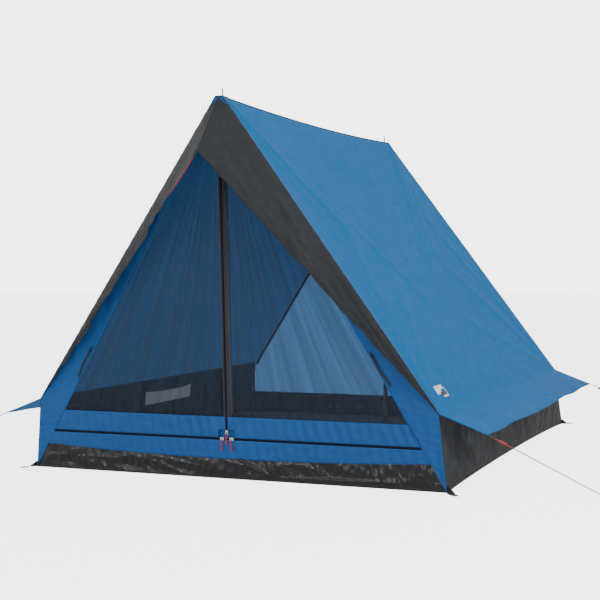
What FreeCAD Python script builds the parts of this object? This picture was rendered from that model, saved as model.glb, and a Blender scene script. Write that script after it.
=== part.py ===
"""A small two-person frame tent: a blue ridge roof on two upright steel poles, with a black tub floor.

The tent stands on z = 0 with its door towards -Y. The origin is the middle of the groundsheet's
underside. Every fabric panel is a flat closed solid between its seams. Lengths are in millimetres.
"""
import FreeCAD, Part
import math
import os

Vector = FreeCAD.Vector

# ---------------------------------------------------------------- driving dimensions
FLOOR_LENGTH = 1900.0      # groundsheet, front to back
FLOOR_WIDTH = 1550.0       # groundsheet, side to side
RIDGE_HEIGHT = 1300.0      # top of the ridge tape
WALL_HEIGHT = 252.0        # low side walls, up to where the roof starts
WALL_LEAN = 24.0           # how far each side wall's top stands in from its foot
FRONT_LEAN = 50.0          # how far the front end of the ridge stands ahead of the front wall's foot
REAR_LEAN = 200.0          # how far the back end of the ridge stops short of the back wall's foot
RIDGE_TAPE_WIDTH = 24.0
RIDGE_TAPE_THICKNESS = 2.0
FABRIC = 1.2               # thickness of a sewn fabric panel
GROUNDSHEET = 1.6          # thickness of the coated floor
SEAM = 0.3                 # gap left between the solids of two panels that are sewn together

TUB_HEIGHT_FRONT = 92.0    # coated tub wall under the door, at its two ends
TUB_DIP_FRONT = 20.0       # how far its top edge hangs at the middle
TUB_HEIGHT_REAR = 107.0
EAVE_REACH = 158.0         # the roof's loose flap beyond the side wall
EAVE_DROP = 60.0
HOOD_REACH = 165.0         # tip of the door canopy, ahead of the ridge's front end
HOOD_DROP = 197.0          # and below it
HOOD_ROOT_GAP = 0.6        # between the canopy's seam and the front wall

SILL_ZIP_HEIGHT = 138.0    # level zip under the two door panels
DOOR_BELOW_RIDGE = 120.0   # upper end of the door panels and of the upright zip, below the ridge
DOOR_TOP = RIDGE_HEIGHT - DOOR_BELOW_RIDGE
DOOR_BAND_TOP = 214.0      # solid fabric band along the foot of each door panel
FRONT_STRIP_FOOT = 8.0     # lower end of the strips beside the door
DOOR_GAP = 1.5             # free edge of a door panel to the front wall
DOOR_OPEN_NOTCH = 28.0     # half-width of the cut-out where the three zips meet
DOOR_NOTCH_HEIGHT = 30.0

ZIP_TAPE_WIDTH = 12.0
ZIP_CHAIN_WIDTH = 2.8
ZIP_CHAIN_THICKNESS = 2.6
ZIP_CHAIN_GAP = 1.6        # between the two rows of coils, where the slider's bridge runs
SLIDER_LENGTH = 14.0
SLIDER_WIDTH = 9.0
SLIDER_PLATE = 1.6
SLIDER_AIR = 0.4           # plate to chain
BRIDGE_SIDE_AIR = 0.2      # bridge to each row of coils
BRIDGE_LENGTH = 4.0
LUG_THICKNESS = 1.2
PULL_EYE_WIDTH = 3.2
PULL_PIN_RADIUS = 0.8
PULL_EYE_RADIUS = 2.1
PULL_PIN_AIR = 0.06
PULL_SIDE_AIR = 0.3
PULL_LENGTH = 40.0
PULL_WIDTH = 5.0
PULL_THICKNESS = 2.4
SILL_SLIDER_OFFSET = 18.0  # middle of each parked sill slider from the tent's middle

POLE_RADIUS = 9.5
POLE_WALL = 0.8
POLE_SET_BACK = 32.0       # front pole's axis behind the front wall
POLE_REAR_SET_IN = 25.0    # back pole's axis ahead of the ridge's back end
POLE_SHOULDER_DEPTH = 24.0 # top of the tube below the grommet
POLE_SPIGOT_LENGTH = 45.0
POLE_SPIGOT_AIR = 0.1
POLE_FOOT_LENGTH = 30.0
POLE_FOOT_RADIUS = 11.8
POLE_FOOT_SOLE = 5.0
POLE_FOOT_AIR = 0.9        # foot above the groundsheet
SPIKE_RADIUS = 2.5
SPIKE_LENGTH = 20.0        # straight part that a flysheet's grommet goes over
SPIKE_POINT = 4.0          # tapered end of the spike
SPIKE_COLLAR_RADIUS = 3.0  # thicker root of the spike, through the ridge grommet
SPIKE_COLLAR_RISE = 5.0    # top of that root above the ridge tape

GROMMET_HOLE_RADIUS = 5.5
GROMMET_NECK_RADIUS = 6.5
GROMMET_FLANGE_RADIUS = 11.0
GROMMET_FLANGE = 1.2

PEG_LOOP_WIDTH = 20.0
PEG_LOOP_LENGTH = 62.0
PEG_LOOP_THICKNESS = 1.6
EYELET_RADIUS = 4.0
EYELET_NECK_RADIUS = 5.0
EYELET_FLANGE_RADIUS = 8.0
EYELET_FLANGE = 0.6

EAVE_TAB_LENGTH = 22.0
EAVE_TAB_WIDTH = 14.0
EAVE_TAB_GAP = 0.6         # eave's rim to the tab
TAB_NARROWING = 0.6        # width of an eave tab's outer end, as a share of its root
HOOD_TAB_LENGTH = 14.0
HOOD_TAB_WIDTH = 7.0
HOOD_TAB_GAP = 3.0         # canopy's tip to its tab
CORD_CORNER_SHARE = 0.45   # how much of each straight run its arc takes up
GUYLINE_RADIUS = 1.5
GUYLINE_REACH = 400.0      # eave corner to the peg's loop, level
PEG_EYE_RADIUS = 11.0
TENSIONER_LENGTH = 26.0
TENSIONER_WIDTH = 12.0
TENSIONER_THICKNESS = 7.0
TENSIONER_AIR = 0.3
TENSIONER_OFFSET = 16.0    # tab's end to the near end of the tensioner

POCKET_LENGTH = 400.0
POCKET_HEIGHT = 56.0
POCKET_THICKNESS = 3.0
POCKET_FOOT = 148.0
LABEL_LENGTH = 100.0
LABEL_HEIGHT = 46.0
LABEL_FOOT = 290.0
LABEL_SET_BACK = 115.0
BINDING_WIDTH = 9.0
BINDING_THICKNESS = 1.0
TOGGLE_HEIGHT = 434.0
TOGGLE_RADIUS = 3.5
TOGGLE_LENGTH = 30.0
TIE_LENGTH = 90.0
TIE_WIDTH = 6.0

# Hand-set route of the short canopy cord, from the tip's tab back along the left free edge:
# (share of the free edge from the tip, forward of the edge, below the edge)
HOOD_CORD_ROUTE = [(0.012, 9.0, 12.0), (0.050, 13.0, 18.0), (0.100, 13.0, 17.0), (0.152, 7.0, 8.0)]
HOOD_CORD_RADIUS = 2.0

HALF_WIDTH = FLOOR_WIDTH / 2
HALF_LENGTH = FLOOR_LENGTH / 2
RIDGE_HALF = RIDGE_TAPE_WIDTH / 2
WALL_TOP_X = HALF_WIDTH - WALL_LEAN
CHAIN_HALF_GAP = ZIP_CHAIN_GAP / 2

os.makedirs("parts", exist_ok=True)


# ---------------------------------------------------------------- the tent's planes
def front_y(z):
    """The front wall's outer face at height z."""
    return -HALF_LENGTH - FRONT_LEAN * z / RIDGE_HEIGHT


def rear_y(z):
    """The back wall's outer face at height z."""
    return HALF_LENGTH - REAR_LEAN * z / RIDGE_HEIGHT


def wall_x(z):
    """A side wall's outer face at height z."""
    return HALF_WIDTH - WALL_LEAN * z / WALL_HEIGHT


def roof_x(z):
    """A roof slope's outer face at height z."""
    share = (RIDGE_HEIGHT - z) / (RIDGE_HEIGHT - WALL_HEIGHT)
    return RIDGE_HALF + share * (WALL_TOP_X - RIDGE_HALF)


def door_edge_x(z):
    """The door's sloping side edge, a straight line from the floor's corner to the peak."""
    return HALF_WIDTH * (1 - z / RIDGE_HEIGHT)


FRONT_UP = Vector(0, -FRONT_LEAN, RIDGE_HEIGHT).normalize()
FRONT_OUT = Vector(0, -RIDGE_HEIGHT, -FRONT_LEAN).normalize()
REAR_OUT = Vector(0, RIDGE_HEIGHT, REAR_LEAN).normalize()
ROOF_RUN = WALL_TOP_X - RIDGE_HALF
ROOF_FALL = RIDGE_HEIGHT - WALL_HEIGHT
ROOF_SKIN_X = FABRIC * math.hypot(ROOF_RUN, ROOF_FALL) / ROOF_FALL   # roof fabric, measured level


def roof_out(side):
    return Vector(side * ROOF_FALL, 0, ROOF_RUN).normalize()


def wall_out(side):
    return Vector(side * WALL_HEIGHT, 0, WALL_LEAN).normalize()


def on_front(x, z, out=0.0):
    return Vector(x, front_y(z), z) + FRONT_OUT * out


def on_rear(x, z):
    return Vector(x, rear_y(z), z)


def export(shape, node):
    shape.exportStep("parts/" + node + ".step")


def panel(points, through):
    """A flat panel: its outline at one face, and the vector from that face to the other."""
    outline = Part.makePolygon(points + [points[0]])
    return Part.Face(outline).extrude(through)


def mirrored(shape):
    return shape.mirror(Vector(0, 0, 0), Vector(1, 0, 0))


def sided(side, shape):
    """A right-hand piece as it is, or its left-hand mirror image."""
    return shape if side > 0 else mirrored(shape)


SIDES = {"left": -1, "right": 1}


# ---------------------------------------------------------------- groundsheet and tub
def floor_sheet():
    corner = Vector(-HALF_WIDTH, -HALF_LENGTH, 0)
    return Part.makeBox(FLOOR_WIDTH, FLOOR_LENGTH, GROUNDSHEET, corner)


def front_tub_edge(x_half, height, lift):
    """The hanging top edge of the front tub wall, from the left end to the right one."""
    left = on_front(-x_half, height + lift)
    low = on_front(0, height - TUB_DIP_FRONT + lift)
    right = on_front(x_half, height + lift)
    return Part.Arc(left, low, right).toShape()


def tub_front():
    """The coated wall under the door, between the two sloping strips."""
    foot = GROUNDSHEET + SEAM
    top_x = door_edge_x(TUB_HEIGHT_FRONT) - SEAM
    foot_x = door_edge_x(foot) - SEAM
    top = front_tub_edge(top_x, TUB_HEIGHT_FRONT, 0)
    right_top = on_front(top_x, TUB_HEIGHT_FRONT)
    right_foot = on_front(foot_x, foot)
    left_foot = on_front(-foot_x, foot)
    left_top = on_front(-top_x, TUB_HEIGHT_FRONT)
    edges = [
        top,
        Part.LineSegment(right_top, right_foot).toShape(),
        Part.LineSegment(right_foot, left_foot).toShape(),
        Part.LineSegment(left_foot, left_top).toShape(),
    ]
    return Part.Face(Part.Wire(edges)).extrude(FRONT_OUT * -FABRIC)


def tub_rear():
    foot = GROUNDSHEET + SEAM
    outline = [
        on_rear(-wall_x(foot), foot),
        on_rear(wall_x(foot), foot),
        on_rear(wall_x(TUB_HEIGHT_REAR), TUB_HEIGHT_REAR),
        on_rear(-wall_x(TUB_HEIGHT_REAR), TUB_HEIGHT_REAR),
    ]
    return panel(outline, REAR_OUT * -FABRIC)


def side_wall(side):
    """A low side wall, held between the front and back walls' fabric."""
    foot = GROUNDSHEET + SEAM
    top = WALL_HEIGHT - 2 * FABRIC
    inset = FABRIC + 2 * SEAM
    outline = [
        Vector(side * wall_x(foot), front_y(foot) + inset, foot),
        Vector(side * wall_x(foot), rear_y(foot) - inset, foot),
        Vector(side * wall_x(top), rear_y(top) - inset, top),
        Vector(side * wall_x(top), front_y(top) + inset, top),
    ]
    return panel(outline, wall_out(side) * -FABRIC)


# ---------------------------------------------------------------- roof, eaves and ridge
def roof(side):
    outline = [
        Vector(side * RIDGE_HALF, front_y(RIDGE_HEIGHT), RIDGE_HEIGHT),
        Vector(side * RIDGE_HALF, rear_y(RIDGE_HEIGHT), RIDGE_HEIGHT),
        Vector(side * WALL_TOP_X, rear_y(WALL_HEIGHT), WALL_HEIGHT),
        Vector(side * WALL_TOP_X, front_y(WALL_HEIGHT), WALL_HEIGHT),
    ]
    return panel(outline, roof_out(side) * -FABRIC)


def eave(side):
    """The loose strip of roof beyond the side wall, pulled out by the guylines."""
    root = WALL_TOP_X + 2 * FABRIC
    rim = WALL_TOP_X + EAVE_REACH
    rim_height = WALL_HEIGHT - EAVE_DROP
    outline = [
        Vector(side * root, front_y(WALL_HEIGHT), WALL_HEIGHT),
        Vector(side * root, rear_y(WALL_HEIGHT), WALL_HEIGHT),
        Vector(side * rim, rear_y(WALL_HEIGHT), rim_height),
        Vector(side * rim, front_y(WALL_HEIGHT), rim_height),
    ]
    down = Vector(-side * EAVE_DROP, 0, -EAVE_REACH).normalize()
    return panel(outline, down * FABRIC)


def ridge_tape():
    """The flat webbing along the ridge, with a hole for each grommet's neck."""
    length = rear_y(RIDGE_HEIGHT) - front_y(RIDGE_HEIGHT)
    under = RIDGE_HEIGHT - RIDGE_TAPE_THICKNESS
    corner = Vector(-RIDGE_HALF + SEAM + ROOF_SKIN_X, front_y(RIDGE_HEIGHT), under)
    width = RIDGE_TAPE_WIDTH - 2 * (SEAM + ROOF_SKIN_X)
    tape = Part.makeBox(width, length, RIDGE_TAPE_THICKNESS, corner)
    for y in (FRONT_GROMMET_Y, REAR_GROMMET_Y):
        tape = tape.cut(Part.makeCylinder(GROMMET_NECK_RADIUS, RIDGE_TAPE_THICKNESS, Vector(0, y, under)))
    return tape


def grommet(y):
    """A rolled brass grommet: a neck through the tape and a flange on each side of it."""
    under = RIDGE_HEIGHT - RIDGE_TAPE_THICKNESS - GROMMET_FLANGE
    height = RIDGE_TAPE_THICKNESS + 2 * GROMMET_FLANGE
    flange = GROMMET_FLANGE_RADIUS - ROOF_SKIN_X - SEAM
    neck = Part.makeCylinder(GROMMET_NECK_RADIUS, height, Vector(0, y, under))
    low = Part.makeCylinder(flange, GROMMET_FLANGE, Vector(0, y, under))
    high = Part.makeCylinder(flange, GROMMET_FLANGE, Vector(0, y, RIDGE_HEIGHT))
    hole = Part.makeCylinder(GROMMET_HOLE_RADIUS, height, Vector(0, y, under))
    return neck.fuse([low, high]).cut(hole).removeSplitter()


POLE_OFFSET_Y = POLE_SET_BACK * math.hypot(RIDGE_HEIGHT, FRONT_LEAN) / RIDGE_HEIGHT
FRONT_GROMMET_Y = front_y(RIDGE_HEIGHT) + POLE_OFFSET_Y
REAR_GROMMET_Y = rear_y(RIDGE_HEIGHT) - POLE_REAR_SET_IN


# ---------------------------------------------------------------- front wall and canopy
def front_panel(side):
    """The blue strip beside the door, from almost nothing at the floor's corner to the door's top."""
    foot = FRONT_STRIP_FOOT
    knee = WALL_HEIGHT - 2 * FABRIC
    skin = ROOF_SKIN_X + SEAM
    outline = [
        on_front(side * (door_edge_x(foot) + DOOR_GAP), foot),
        on_front(side * wall_x(foot), foot),
        on_front(side * (wall_x(knee) - skin), knee),
        on_front(side * (roof_x(DOOR_TOP) - skin), DOOR_TOP),
        on_front(side * (door_edge_x(DOOR_TOP) + DOOR_GAP), DOOR_TOP),
    ]
    return panel(outline, FRONT_OUT * -FABRIC)


def front_peak():
    """The small fixed triangle over the door panels."""
    foot = DOOR_TOP + DOOR_GAP
    top = RIDGE_HEIGHT - 2 * GROMMET_FLANGE - RIDGE_TAPE_THICKNESS
    skin = ROOF_SKIN_X + SEAM
    outline = [
        on_front(-(roof_x(foot) - skin), foot),
        on_front(roof_x(foot) - skin, foot),
        on_front(roof_x(top) - skin, top),
        on_front(-(roof_x(top) - skin), top),
    ]
    return panel(outline, FRONT_OUT * -FABRIC)


def front_sill():
    """The blue strip between the tub and the level zip."""
    ends = door_edge_x(TUB_HEIGHT_FRONT) - SEAM
    top = SILL_ZIP_HEIGHT - CHAIN_HALF_GAP - ZIP_TAPE_WIDTH - SEAM
    low_edge = front_tub_edge(ends, TUB_HEIGHT_FRONT, SEAM)
    right_low = on_front(ends, TUB_HEIGHT_FRONT + SEAM)
    right_top = on_front(door_edge_x(top) - SEAM, top)
    left_top = on_front(-(door_edge_x(top) - SEAM), top)
    left_low = on_front(-ends, TUB_HEIGHT_FRONT + SEAM)
    edges = [
        low_edge,
        Part.LineSegment(right_low, right_top).toShape(),
        Part.LineSegment(right_top, left_top).toShape(),
        Part.LineSegment(left_top, left_low).toShape(),
    ]
    return Part.Face(Part.Wire(edges)).extrude(FRONT_OUT * -FABRIC)


HOOD_TIP = Vector(0, front_y(RIDGE_HEIGHT) - HOOD_REACH, RIDGE_HEIGHT - HOOD_DROP)


def hood_corners(side):
    """Canopy panel: the ridge's end, the free tip and the top of the side wall."""
    peak = on_front(side * SEAM, RIDGE_HEIGHT - 2 * FABRIC, HOOD_ROOT_GAP)
    tip = HOOD_TIP + Vector(side * SEAM, 0, 0)
    low = on_front(side * (WALL_TOP_X - 2 * FABRIC), WALL_HEIGHT + 2 * FABRIC, HOOD_ROOT_GAP)
    return peak, tip, low


def hood(side):
    peak, tip, low = hood_corners(side)
    out = (tip - peak).cross(low - peak).normalize()
    if out.x * side < 0:
        out = out * -1
    return panel([peak, tip, low], out * FABRIC)


def front_edge_binding():
    """The dark binding sewn over the front edge of each roof slope."""
    strips = []
    for side in SIDES.values():
        top = RIDGE_HEIGHT - SEAM
        low = WALL_HEIGHT + SEAM
        outline = [
            Vector(side * roof_x(top), front_y(top), top),
            Vector(side * roof_x(top), front_y(top) + BINDING_WIDTH, top),
            Vector(side * roof_x(low), front_y(low) + BINDING_WIDTH, low),
            Vector(side * roof_x(low), front_y(low), low),
        ]
        strips.append(panel(outline, roof_out(side) * BINDING_THICKNESS))
    return Part.makeCompound(strips)


def rear_wall():
    foot = TUB_HEIGHT_REAR + SEAM
    knee = WALL_HEIGHT - 2 * FABRIC
    top = RIDGE_HEIGHT - 2 * GROMMET_FLANGE - RIDGE_TAPE_THICKNESS
    skin = ROOF_SKIN_X + SEAM
    half = [(wall_x(foot), foot), (wall_x(knee) - skin, knee), (roof_x(top) - skin, top)]
    outline = [on_rear(x, z) for x, z in half]
    outline += [on_rear(-x, z) for x, z in reversed(half)]
    return panel(outline, REAR_OUT * -FABRIC)


# ---------------------------------------------------------------- door panels and zips
def zip_half(start, end, inward):
    """Half a zip on the front wall: a tape and its row of coils, drawn from start to end.

    start and end lie on the tape's coil edge, and inward points across the tape, away from the coils.
    """
    tape = [start, end, end + inward * ZIP_TAPE_WIDTH, start + inward * ZIP_TAPE_WIDTH]
    coils = [start, end, end + inward * ZIP_CHAIN_WIDTH, start + inward * ZIP_CHAIN_WIDTH]
    proud = (ZIP_CHAIN_THICKNESS - FABRIC) / 2
    coils = [p + FRONT_OUT * proud for p in coils]
    chain = panel(coils, FRONT_OUT * -ZIP_CHAIN_THICKNESS)
    return panel(tape, FRONT_OUT * -FABRIC).fuse(chain).removeSplitter()


NOTCH_TOP = SILL_ZIP_HEIGHT + DOOR_NOTCH_HEIGHT
DOOR_TAPE_EDGE = CHAIN_HALF_GAP + ZIP_TAPE_WIDTH
SILL_TAPE_TOP = SILL_ZIP_HEIGHT + CHAIN_HALF_GAP + ZIP_TAPE_WIDTH


def door_free_edge(z):
    """The door panel's own sloping edge, a gap in from the front wall's strip."""
    return door_edge_x(z) - DOOR_GAP


def door_mesh():
    inner = DOOR_TAPE_EDGE + SEAM
    foot = DOOR_BAND_TOP + SEAM
    outline = [
        on_front(inner, foot),
        on_front(door_free_edge(foot), foot),
        on_front(door_free_edge(DOOR_TOP), DOOR_TOP),
        on_front(inner, DOOR_TOP),
    ]
    return panel(outline, FRONT_OUT * -FABRIC)


def door_band():
    inner = DOOR_TAPE_EDGE + SEAM
    foot = SILL_TAPE_TOP + SEAM
    notch = DOOR_OPEN_NOTCH + SEAM
    outline = [
        on_front(notch, foot),
        on_front(door_free_edge(foot), foot),
        on_front(door_free_edge(DOOR_BAND_TOP), DOOR_BAND_TOP),
        on_front(inner, DOOR_BAND_TOP),
        on_front(inner, NOTCH_TOP),
        on_front(notch, NOTCH_TOP),
    ]
    return panel(outline, FRONT_OUT * -FABRIC)


def door_zip_side():
    start = on_front(CHAIN_HALF_GAP, NOTCH_TOP)
    end = on_front(CHAIN_HALF_GAP, DOOR_TOP)
    return zip_half(start, end, Vector(1, 0, 0))


def door_zip_bottom():
    z = SILL_ZIP_HEIGHT + CHAIN_HALF_GAP
    start = on_front(DOOR_OPEN_NOTCH, z)
    end = on_front(door_free_edge(SILL_TAPE_TOP), z)
    return zip_half(start, end, FRONT_UP)


def sill_zip():
    z = SILL_ZIP_HEIGHT - CHAIN_HALF_GAP
    end_x = door_edge_x(z) - DOOR_GAP
    return zip_half(on_front(-end_x, z), on_front(end_x, z), FRONT_UP * -1)


# ---------------------------------------------------------------- zip sliders and pulls
CHAIN_PROUD = (ZIP_CHAIN_THICKNESS - FABRIC) / 2
PLATE_NEAR = CHAIN_PROUD + SLIDER_AIR
PLATE_FAR = CHAIN_PROUD - ZIP_CHAIN_THICKNESS - SLIDER_AIR
PIN_OUT = PLATE_NEAR + SLIDER_PLATE + PULL_EYE_RADIUS + PULL_SIDE_AIR
LUG_SPAN = PULL_EYE_WIDTH + 2 * (PULL_SIDE_AIR + LUG_THICKNESS)


def front_box(centre_x, centre_z, width, height, out_low, out_high):
    """A block on the front wall, from one distance outside its face to another."""
    middle = on_front(centre_x, centre_z, out_low)
    across = Vector(width / 2, 0, 0)
    up = FRONT_UP * (height / 2)
    corners = [middle - across - up, middle + across - up, middle + across + up, middle - across + up]
    return panel(corners, FRONT_OUT * (out_high - out_low))


def slider(x, z, upright):
    """A zip slider: a plate each side of the coils, a bridge between them, and a pin for its pull."""
    width = SLIDER_WIDTH if upright else SLIDER_LENGTH
    height = SLIDER_LENGTH if upright else SLIDER_WIDTH
    near = front_box(x, z, width, height, PLATE_NEAR, PLATE_NEAR + SLIDER_PLATE)
    far = front_box(x, z, width, height, PLATE_FAR - SLIDER_PLATE, PLATE_FAR)
    bridge_width = ZIP_CHAIN_GAP - 2 * BRIDGE_SIDE_AIR
    bridge_x = bridge_width if upright else BRIDGE_LENGTH
    bridge_z = BRIDGE_LENGTH if upright else bridge_width
    body = near.fuse([far, front_box(x, z, bridge_x, bridge_z, PLATE_FAR, PLATE_NEAR)])
    lug_height = 2 * (PULL_PIN_RADIUS + LUG_THICKNESS)
    lug_x = PULL_EYE_WIDTH / 2 + PULL_SIDE_AIR + LUG_THICKNESS / 2
    lug_top = PIN_OUT + PULL_PIN_RADIUS + LUG_THICKNESS
    for side in SIDES.values():
        lug = front_box(x + side * lug_x, z, LUG_THICKNESS, lug_height, PLATE_NEAR, lug_top)
        body = body.fuse(lug)
    start = on_front(x - LUG_SPAN / 2, z, PIN_OUT)
    pin = Part.makeCylinder(PULL_PIN_RADIUS, LUG_SPAN, start, Vector(1, 0, 0))
    return body.fuse(pin).removeSplitter()


def pull(x, z):
    """A pull that hangs straight down from the slider's pin."""
    centre = on_front(x, z, PIN_OUT)
    start = centre - Vector(PULL_EYE_WIDTH / 2, 0, 0)
    eye = Part.makeCylinder(PULL_EYE_RADIUS, PULL_EYE_WIDTH, start, Vector(1, 0, 0))
    stem_length = PULL_EYE_RADIUS + 2 * LUG_THICKNESS + PULL_SIDE_AIR
    stem_corner = centre - Vector(PULL_EYE_WIDTH / 2, PULL_THICKNESS / 2, stem_length)
    stem = Part.makeBox(PULL_EYE_WIDTH, PULL_THICKNESS, stem_length, stem_corner)
    tag_corner = centre - Vector(PULL_WIDTH / 2, PULL_THICKNESS / 2, PULL_LENGTH)
    tag = Part.makeBox(PULL_WIDTH, PULL_THICKNESS, PULL_LENGTH - stem_length, tag_corner)
    bore = Part.makeCylinder(PULL_PIN_RADIUS + PULL_PIN_AIR, PULL_EYE_WIDTH, start, Vector(1, 0, 0))
    return eye.fuse([stem, tag]).cut(bore).removeSplitter()


DOOR_SLIDER_Z = SILL_ZIP_HEIGHT + DOOR_NOTCH_HEIGHT - SLIDER_LENGTH / 2 - 2 * SEAM


# ---------------------------------------------------------------- poles
def turned(profile):
    """A solid turned about the Z axis from (radius, height) points."""
    points = [Vector(r, 0, h) for r, h in profile]
    face = Part.Face(Part.makePolygon(points + [points[0]]))
    return face.revolve(Vector(0, 0, 0), Vector(0, 0, 1), 360)


def tube_section(low, high, spigot):
    """One steel tube. A spigot is its swaged upper end, which fits inside the next tube."""
    inner = POLE_RADIUS - POLE_WALL
    if not spigot:
        return turned([(inner, low), (POLE_RADIUS, low), (POLE_RADIUS, high), (inner, high)])
    swage = inner - POLE_SPIGOT_AIR
    tip = high + POLE_SPIGOT_LENGTH
    return turned([
        (inner, low),
        (POLE_RADIUS, low),
        (POLE_RADIUS, high),
        (swage, high),
        (swage, tip),
        (swage - POLE_WALL, tip),
        (swage - POLE_WALL, high - POLE_WALL),
        (inner, high - 2 * POLE_WALL),
    ])


def pole_pieces(length):
    """A pole along Z with its hinge point, the middle of the grommet, at the origin."""
    sole = -length
    tube_low = sole + POLE_FOOT_SOLE
    tube_high = -POLE_SHOULDER_DEPTH
    section = (tube_high - tube_low) / 3
    joint_1 = tube_low + section
    joint_2 = tube_low + 2 * section
    bore = POLE_RADIUS + POLE_SPIGOT_AIR
    foot = turned([
        (0, sole),
        (POLE_FOOT_RADIUS, sole),
        (POLE_FOOT_RADIUS, sole + POLE_FOOT_LENGTH),
        (bore, sole + POLE_FOOT_LENGTH),
        (bore, tube_low),
        (0, tube_low),
    ])
    plug = POLE_RADIUS - POLE_WALL - POLE_SPIGOT_AIR
    cap_top = tube_high + SPIKE_RADIUS
    collar_top = RIDGE_TAPE_THICKNESS / 2 + SPIKE_COLLAR_RISE
    spike_top = collar_top + SPIKE_LENGTH + SPIKE_POINT
    spike = turned([
        (0, tube_high - POLE_SHOULDER_DEPTH),
        (plug, tube_high - POLE_SHOULDER_DEPTH),
        (plug, tube_high),
        (POLE_RADIUS, tube_high),
        (POLE_RADIUS, cap_top),
        (SPIKE_COLLAR_RADIUS, cap_top),
        (SPIKE_COLLAR_RADIUS, collar_top),
        (SPIKE_RADIUS, collar_top),
        (SPIKE_RADIUS, collar_top + SPIKE_LENGTH),
        (SPIKE_RADIUS / 2, spike_top),
        (0, spike_top),
    ])
    return {
        "lower": tube_section(tube_low, joint_1, True),
        "middle": tube_section(joint_1, joint_2, True),
        "upper": tube_section(joint_2, tube_high, False),
        "foot": foot,
        "spike": spike,
    }


GROMMET_MIDDLE_Z = RIDGE_HEIGHT - RIDGE_TAPE_THICKNESS / 2
POLE_DROP = GROMMET_MIDDLE_Z - GROUNDSHEET - POLE_FOOT_AIR


def poles():
    lean = math.atan2(FRONT_LEAN, RIDGE_HEIGHT)
    front_place = FreeCAD.Placement(
        Vector(0, FRONT_GROMMET_Y, GROMMET_MIDDLE_Z),
        FreeCAD.Rotation(Vector(1, 0, 0), math.degrees(lean)))
    rear_place = FreeCAD.Placement(Vector(0, REAR_GROMMET_Y, GROMMET_MIDDLE_Z), FreeCAD.Rotation())
    for name, place in (("front_pole_", front_place), ("rear_pole_", rear_place)):
        for piece, shape in pole_pieces(POLE_DROP).items():
            shape.Placement = place
            export(shape, name + piece)


# ---------------------------------------------------------------- webbing, eyelets and tabs
def peg_loop_frames():
    """Each floor corner, and the level direction in which its webbing points away from the tent."""
    for end in (-1, 1):
        for side in (-1, 1):
            out = Vector(side, end, 0).normalize()
            yield Vector(side * HALF_WIDTH, end * HALF_LENGTH, 0) + out * SEAM, out


def eyelet_centre(corner, out):
    return corner + out * (PEG_LOOP_LENGTH - PEG_LOOP_WIDTH / 2)


def peg_loop(corner, out):
    """A flat webbing tab on the ground with a round end and a punched hole."""
    across = Vector(-out.y, out.x, 0) * (PEG_LOOP_WIDTH / 2)
    centre = eyelet_centre(corner, out)
    start = corner + out * (PEG_LOOP_WIDTH / 2)
    up = Vector(0, 0, PEG_LOOP_THICKNESS)
    strap = panel([start - across, centre - across, centre + across, start + across], up)
    end = Part.makeCylinder(PEG_LOOP_WIDTH / 2, PEG_LOOP_THICKNESS, centre)
    root = panel([corner, start - across, start + across], up)
    hole = Part.makeCylinder(EYELET_NECK_RADIUS, PEG_LOOP_THICKNESS, centre)
    return strap.fuse([end, root]).cut(hole).removeSplitter()


def eyelet(corner, out):
    """A pressed brass eyelet: a neck through the webbing and a rim on top of it."""
    centre = eyelet_centre(corner, out)
    height = PEG_LOOP_THICKNESS + EYELET_FLANGE
    neck = Part.makeCylinder(EYELET_NECK_RADIUS, height, centre)
    rim = Part.makeCylinder(EYELET_FLANGE_RADIUS, EYELET_FLANGE, centre + Vector(0, 0, PEG_LOOP_THICKNESS))
    hole = Part.makeCylinder(EYELET_RADIUS, height, centre)
    return neck.fuse(rim).cut(hole).removeSplitter()


def eave_corners():
    """Each eave corner with its name: the point on the rim, and its side."""
    rim_height = WALL_HEIGHT - EAVE_DROP
    rim = WALL_TOP_X + EAVE_REACH
    for end, y in (("front", front_y(WALL_HEIGHT)), ("rear", rear_y(WALL_HEIGHT))):
        inset = EAVE_TAB_WIDTH / 2 if end == "front" else -EAVE_TAB_WIDTH / 2
        for side_name, side in SIDES.items():
            yield end + "_" + side_name, Vector(side * rim, y + inset, rim_height), side


def guyline_direction(corner, side):
    """The straight pull from an eave corner down to its peg."""
    fall = corner.z - GUYLINE_RADIUS
    return Vector(side * GUYLINE_REACH, 0, -fall).normalize()


def eave_tab(corner, side):
    """A folded webbing tab, drawn out in line with the guyline."""
    along = guyline_direction(corner, side)
    across = Vector(0, EAVE_TAB_WIDTH / 2, 0)
    normal = Vector(side * along.z, 0, -side * along.x)
    if normal.z < 0:
        normal = normal * -1
    start = corner + along * EAVE_TAB_GAP
    end = start + along * EAVE_TAB_LENGTH
    narrow = across * TAB_NARROWING
    outline = [start - across, end - narrow, end + narrow, start + across]
    return panel([p - normal * FABRIC for p in outline], normal * (2 * FABRIC))


def hood_tab():
    """The tab at the canopy's tip, hanging a little forward."""
    along = Vector(0, -1, -2).normalize()
    start = HOOD_TIP + along * HOOD_TAB_GAP
    end = start + along * HOOD_TAB_LENGTH
    across = Vector(HOOD_TAB_WIDTH / 2, 0, 0)
    normal = Vector(0, 2, -1).normalize() * FABRIC
    outline = [start - across, end - across, end + across, start + across]
    return panel([p - normal for p in outline], normal * 2)


# ---------------------------------------------------------------- guylines
def guyline_ends(corner, side):
    along = guyline_direction(corner, side)
    start = corner + along * (EAVE_TAB_LENGTH + 3 * SEAM)
    run = (start.z - GUYLINE_RADIUS) / -along.z
    return start, start + along * run, along


def guyline(corner, side):
    start, end, along = guyline_ends(corner, side)
    return Part.makeCylinder(GUYLINE_RADIUS, (end - start).Length, start, along)


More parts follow.
